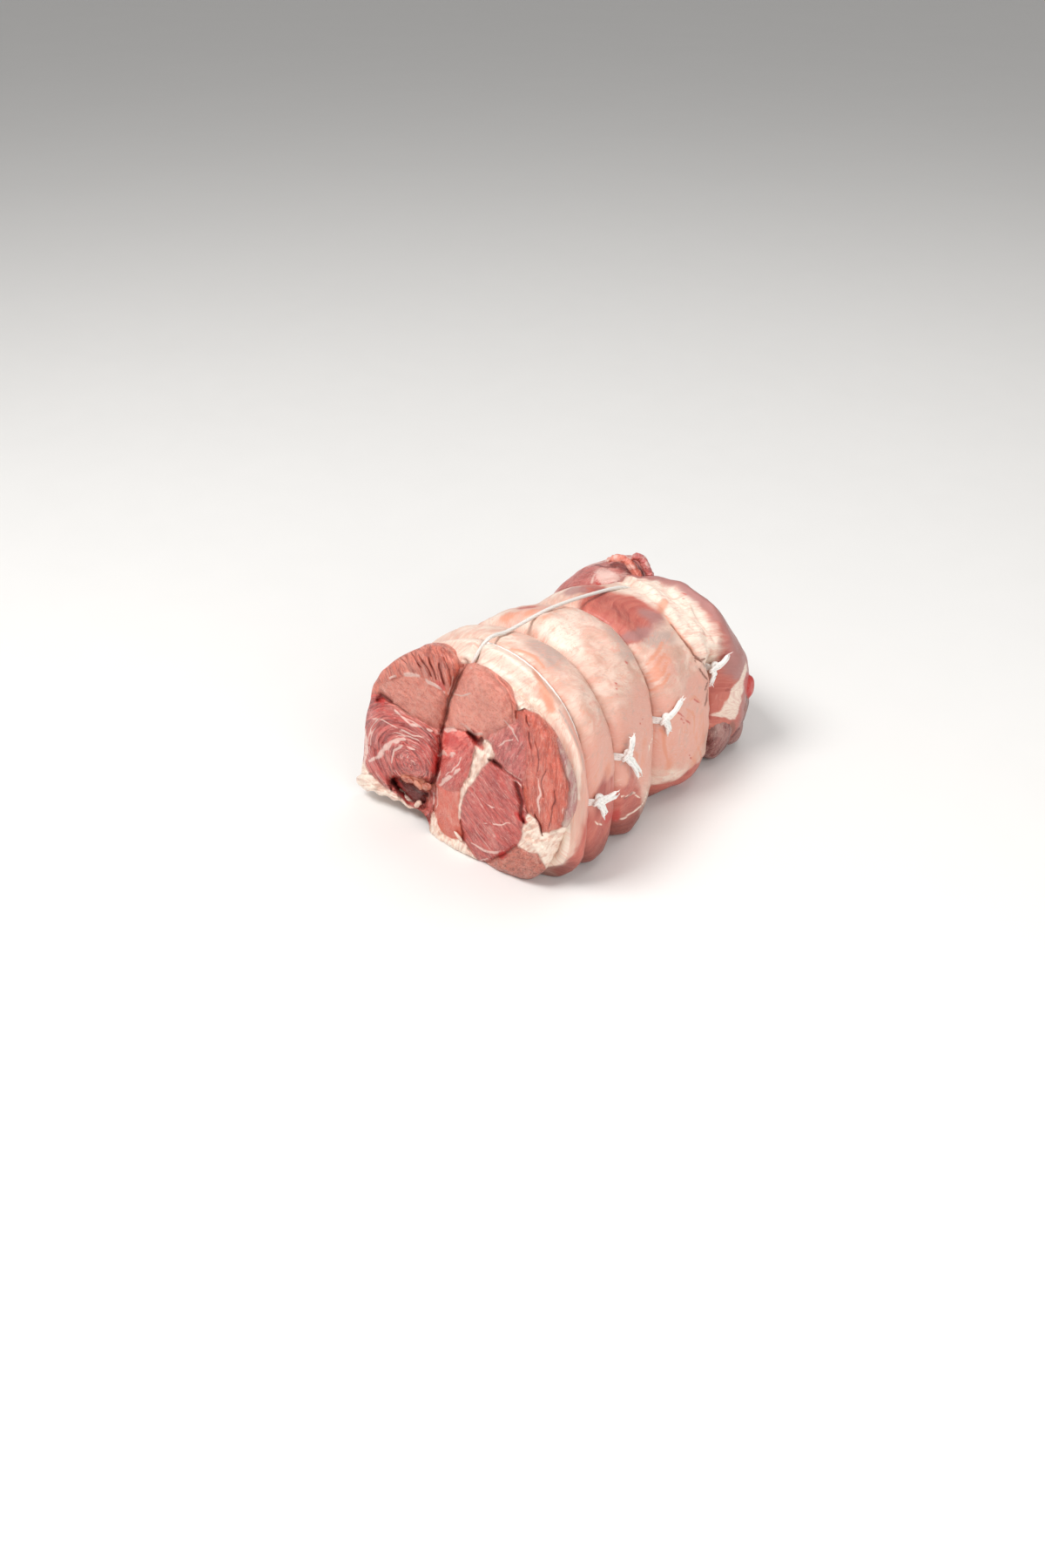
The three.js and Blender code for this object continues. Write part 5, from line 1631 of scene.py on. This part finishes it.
class LambColours(bpy.types.PropertyGroup):
    fat: colour_setting("Fat", "Plain fat of the outside", 238, 209, 192)
    fat_deep: colour_setting("Deeper Fat", "Fat in its hollows", 218, 174, 154)
    cream: colour_setting("Cream Fat", "Thick bright fat", 245, 227, 210)
    rosy: colour_setting("Rosy Fat", "Thin fat with meat under it", 230, 172, 154)
    grey: colour_setting("Grey Fat", "Fat with silverskin under it", 196, 170, 158)
    stain: colour_setting("Stain", "Orange-red stains", 228, 152, 122)
    red: colour_setting("Lean Red", "Lean meat that shows through", 186, 88, 76)
    brick: colour_setting("Lean Brick", "Lighter lean meat", 208, 122, 104)
    mauve: colour_setting("Mauve Skin", "Membrane over lean meat", 172, 126, 122)
    membrane: colour_setting("Membrane", "Pale membrane and marbling", 236, 204, 192)
    # painted shade low down on the side and at the front cap's lower left, not a colour of the meat
    dusk: colour_setting("Painted Low Shade", "Dark meat low down on the side", 112, 52, 44)
    flush: colour_setting("Flush", "Pink flush of the thinner fat", 230, 166, 148)
    # painted shade at the bottom of the creases and folds of the fat side
    crease: colour_setting("Crease Shade", "Bottom of the creases", 138, 86, 70)
    # painted shade in the hollows between muscles
    crevice_shade: colour_setting("Crevice Shade", "Dark hollows between muscles", 108, 28, 24)
    blood: colour_setting("Blood Red", "Wet bright red spots", 196, 44, 40)
    salmon_deep: colour_setting("Deep Salmon", "Grain of the eye muscle", 220, 112, 96)
    salmon: colour_setting("Salmon", "Eye muscle", 250, 155, 134)
    orange_deep: colour_setting("Deep Orange", "Folds of the crescent muscle", 172, 74, 58)
    orange_red: colour_setting("Orange Red", "Crescent muscle", 208, 102, 82)
    mauve_deep: colour_setting("Deep Mauve", "Dark of the mottled muscle", 158, 66, 64)
    mauve_pink: colour_setting("Mauve Pink", "Mottled muscle", 206, 104, 100)
    mauve_red: colour_setting("Mauve Red", "Shank muscle", 198, 110, 103)
    shank_deep: colour_setting("Deep Shank", "Dark of the shank muscle", 164, 84, 78)
    purple_deep: colour_setting("Deep Purple", "Dark of the round muscle", 156, 60, 57)
    purple_red: colour_setting("Purple Red", "Round muscle", 196, 92, 84)
    pink_deep: colour_setting("Deep Pink", "Dark of the smooth strips", 170, 62, 56)
    pink_red: colour_setting("Pink Red", "Smooth strips", 204, 98, 90)
    bright_red: colour_setting("Bright Red", "Small wet muscle", 240, 124, 112)
    umber_deep: colour_setting("Deep Umber", "Wrinkles of the shoulder band", 152, 66, 52)
    umber: colour_setting("Umber", "Shoulder band", 216, 120, 100)
    # the ledge's orange fat, darkened as painted shade where the lower left of the face lies in shade
    ledge_deep: colour_setting("Deep Ledge", "Hollows of the orange fat", 164, 74, 56)
    ledge: colour_setting("Ledge", "Orange fat over the hollow", 216, 140, 112)
    # painted shade inside the hollow
    hollow: colour_setting("Hollow Shade", "Inside of the hollow", 70, 8, 8)
    violet: colour_setting("Violet", "Silverskin", 176, 116, 114)
    # meat at the far end: its own darker colour, deepened as painted shade
    tail_deep: colour_setting("Deep Tail", "Dark of the meat at the far end", 108, 48, 44)
    tail_plain: colour_setting("Tail", "Meat at the far end", 158, 102, 96)
    fine_deep: colour_setting("Deep Fine Grain", "Dark of the finely grained muscle", 200, 96, 80)
    fine_plain: colour_setting("Fine Grain", "Finely grained muscle", 232, 138, 118)
    pale_pink: colour_setting("Pale Pink", "Pale muscle", 204, 100, 82)
    brown_deep: colour_setting("Deep Brown", "Dark of the browner muscles", 146, 66, 50)
    brown_pink: colour_setting("Brown Pink", "Browner muscles", 204, 108, 88)
    crimson_deep: colour_setting("Deep Crimson", "Dark of the swirling muscle", 134, 38, 36)
    crimson: colour_setting("Crimson", "Swirling muscle", 208, 98, 90)
    twine: colour_setting("Twine", "White twine of the loops", 250, 247, 242)
    long_twine: colour_setting("Long String", "Greyer string lengthwise", 228, 223, 216)
    floor: colour_setting("Floor", "Pale floor", 236, 234, 231)


OPERATORS = (
    LAMBROLL_OT_stage, LAMBROLL_OT_fat_cap, LAMBROLL_OT_cut_face, LAMBROLL_OT_fat_bits,
    LAMBROLL_OT_shank_end, LAMBROLL_OT_twine_loops, LAMBROLL_OT_long_string,
)


class LAMBROLL_PT_panel(bpy.types.Panel):
    """Lists the pieces of the roll"""

    bl_label = "Rolled Lamb"
    bl_idname = "LAMBROLL_PT_panel"
    bl_space_type = "VIEW_3D"
    bl_region_type = "UI"
    bl_category = "Lamb"

    def draw(self, context):
        layout = self.layout
        for settings in (context.scene.lamb_sizes, context.scene.lamb_colours):
            for key in settings.__annotations__:
                layout.prop(settings, key)
        for operator in OPERATORS:
            layout.operator(operator.bl_idname)


CLASSES = (LambSizes, LambColours, *OPERATORS, LAMBROLL_PT_panel)


def register():
    for cls in CLASSES:
        bpy.utils.register_class(cls)
    bpy.types.Scene.lamb_sizes = bpy.props.PointerProperty(type=LambSizes)
    bpy.types.Scene.lamb_colours = bpy.props.PointerProperty(type=LambColours)


def unregister():
    del bpy.types.Scene.lamb_colours
    del bpy.types.Scene.lamb_sizes
    for cls in reversed(CLASSES):
        bpy.utils.unregister_class(cls)


def main():
    register()
    for operator in OPERATORS:
        group, name = operator.bl_idname.split(".")
        getattr(getattr(bpy.ops, group), name)()


if __name__ == "__main__":
    main()
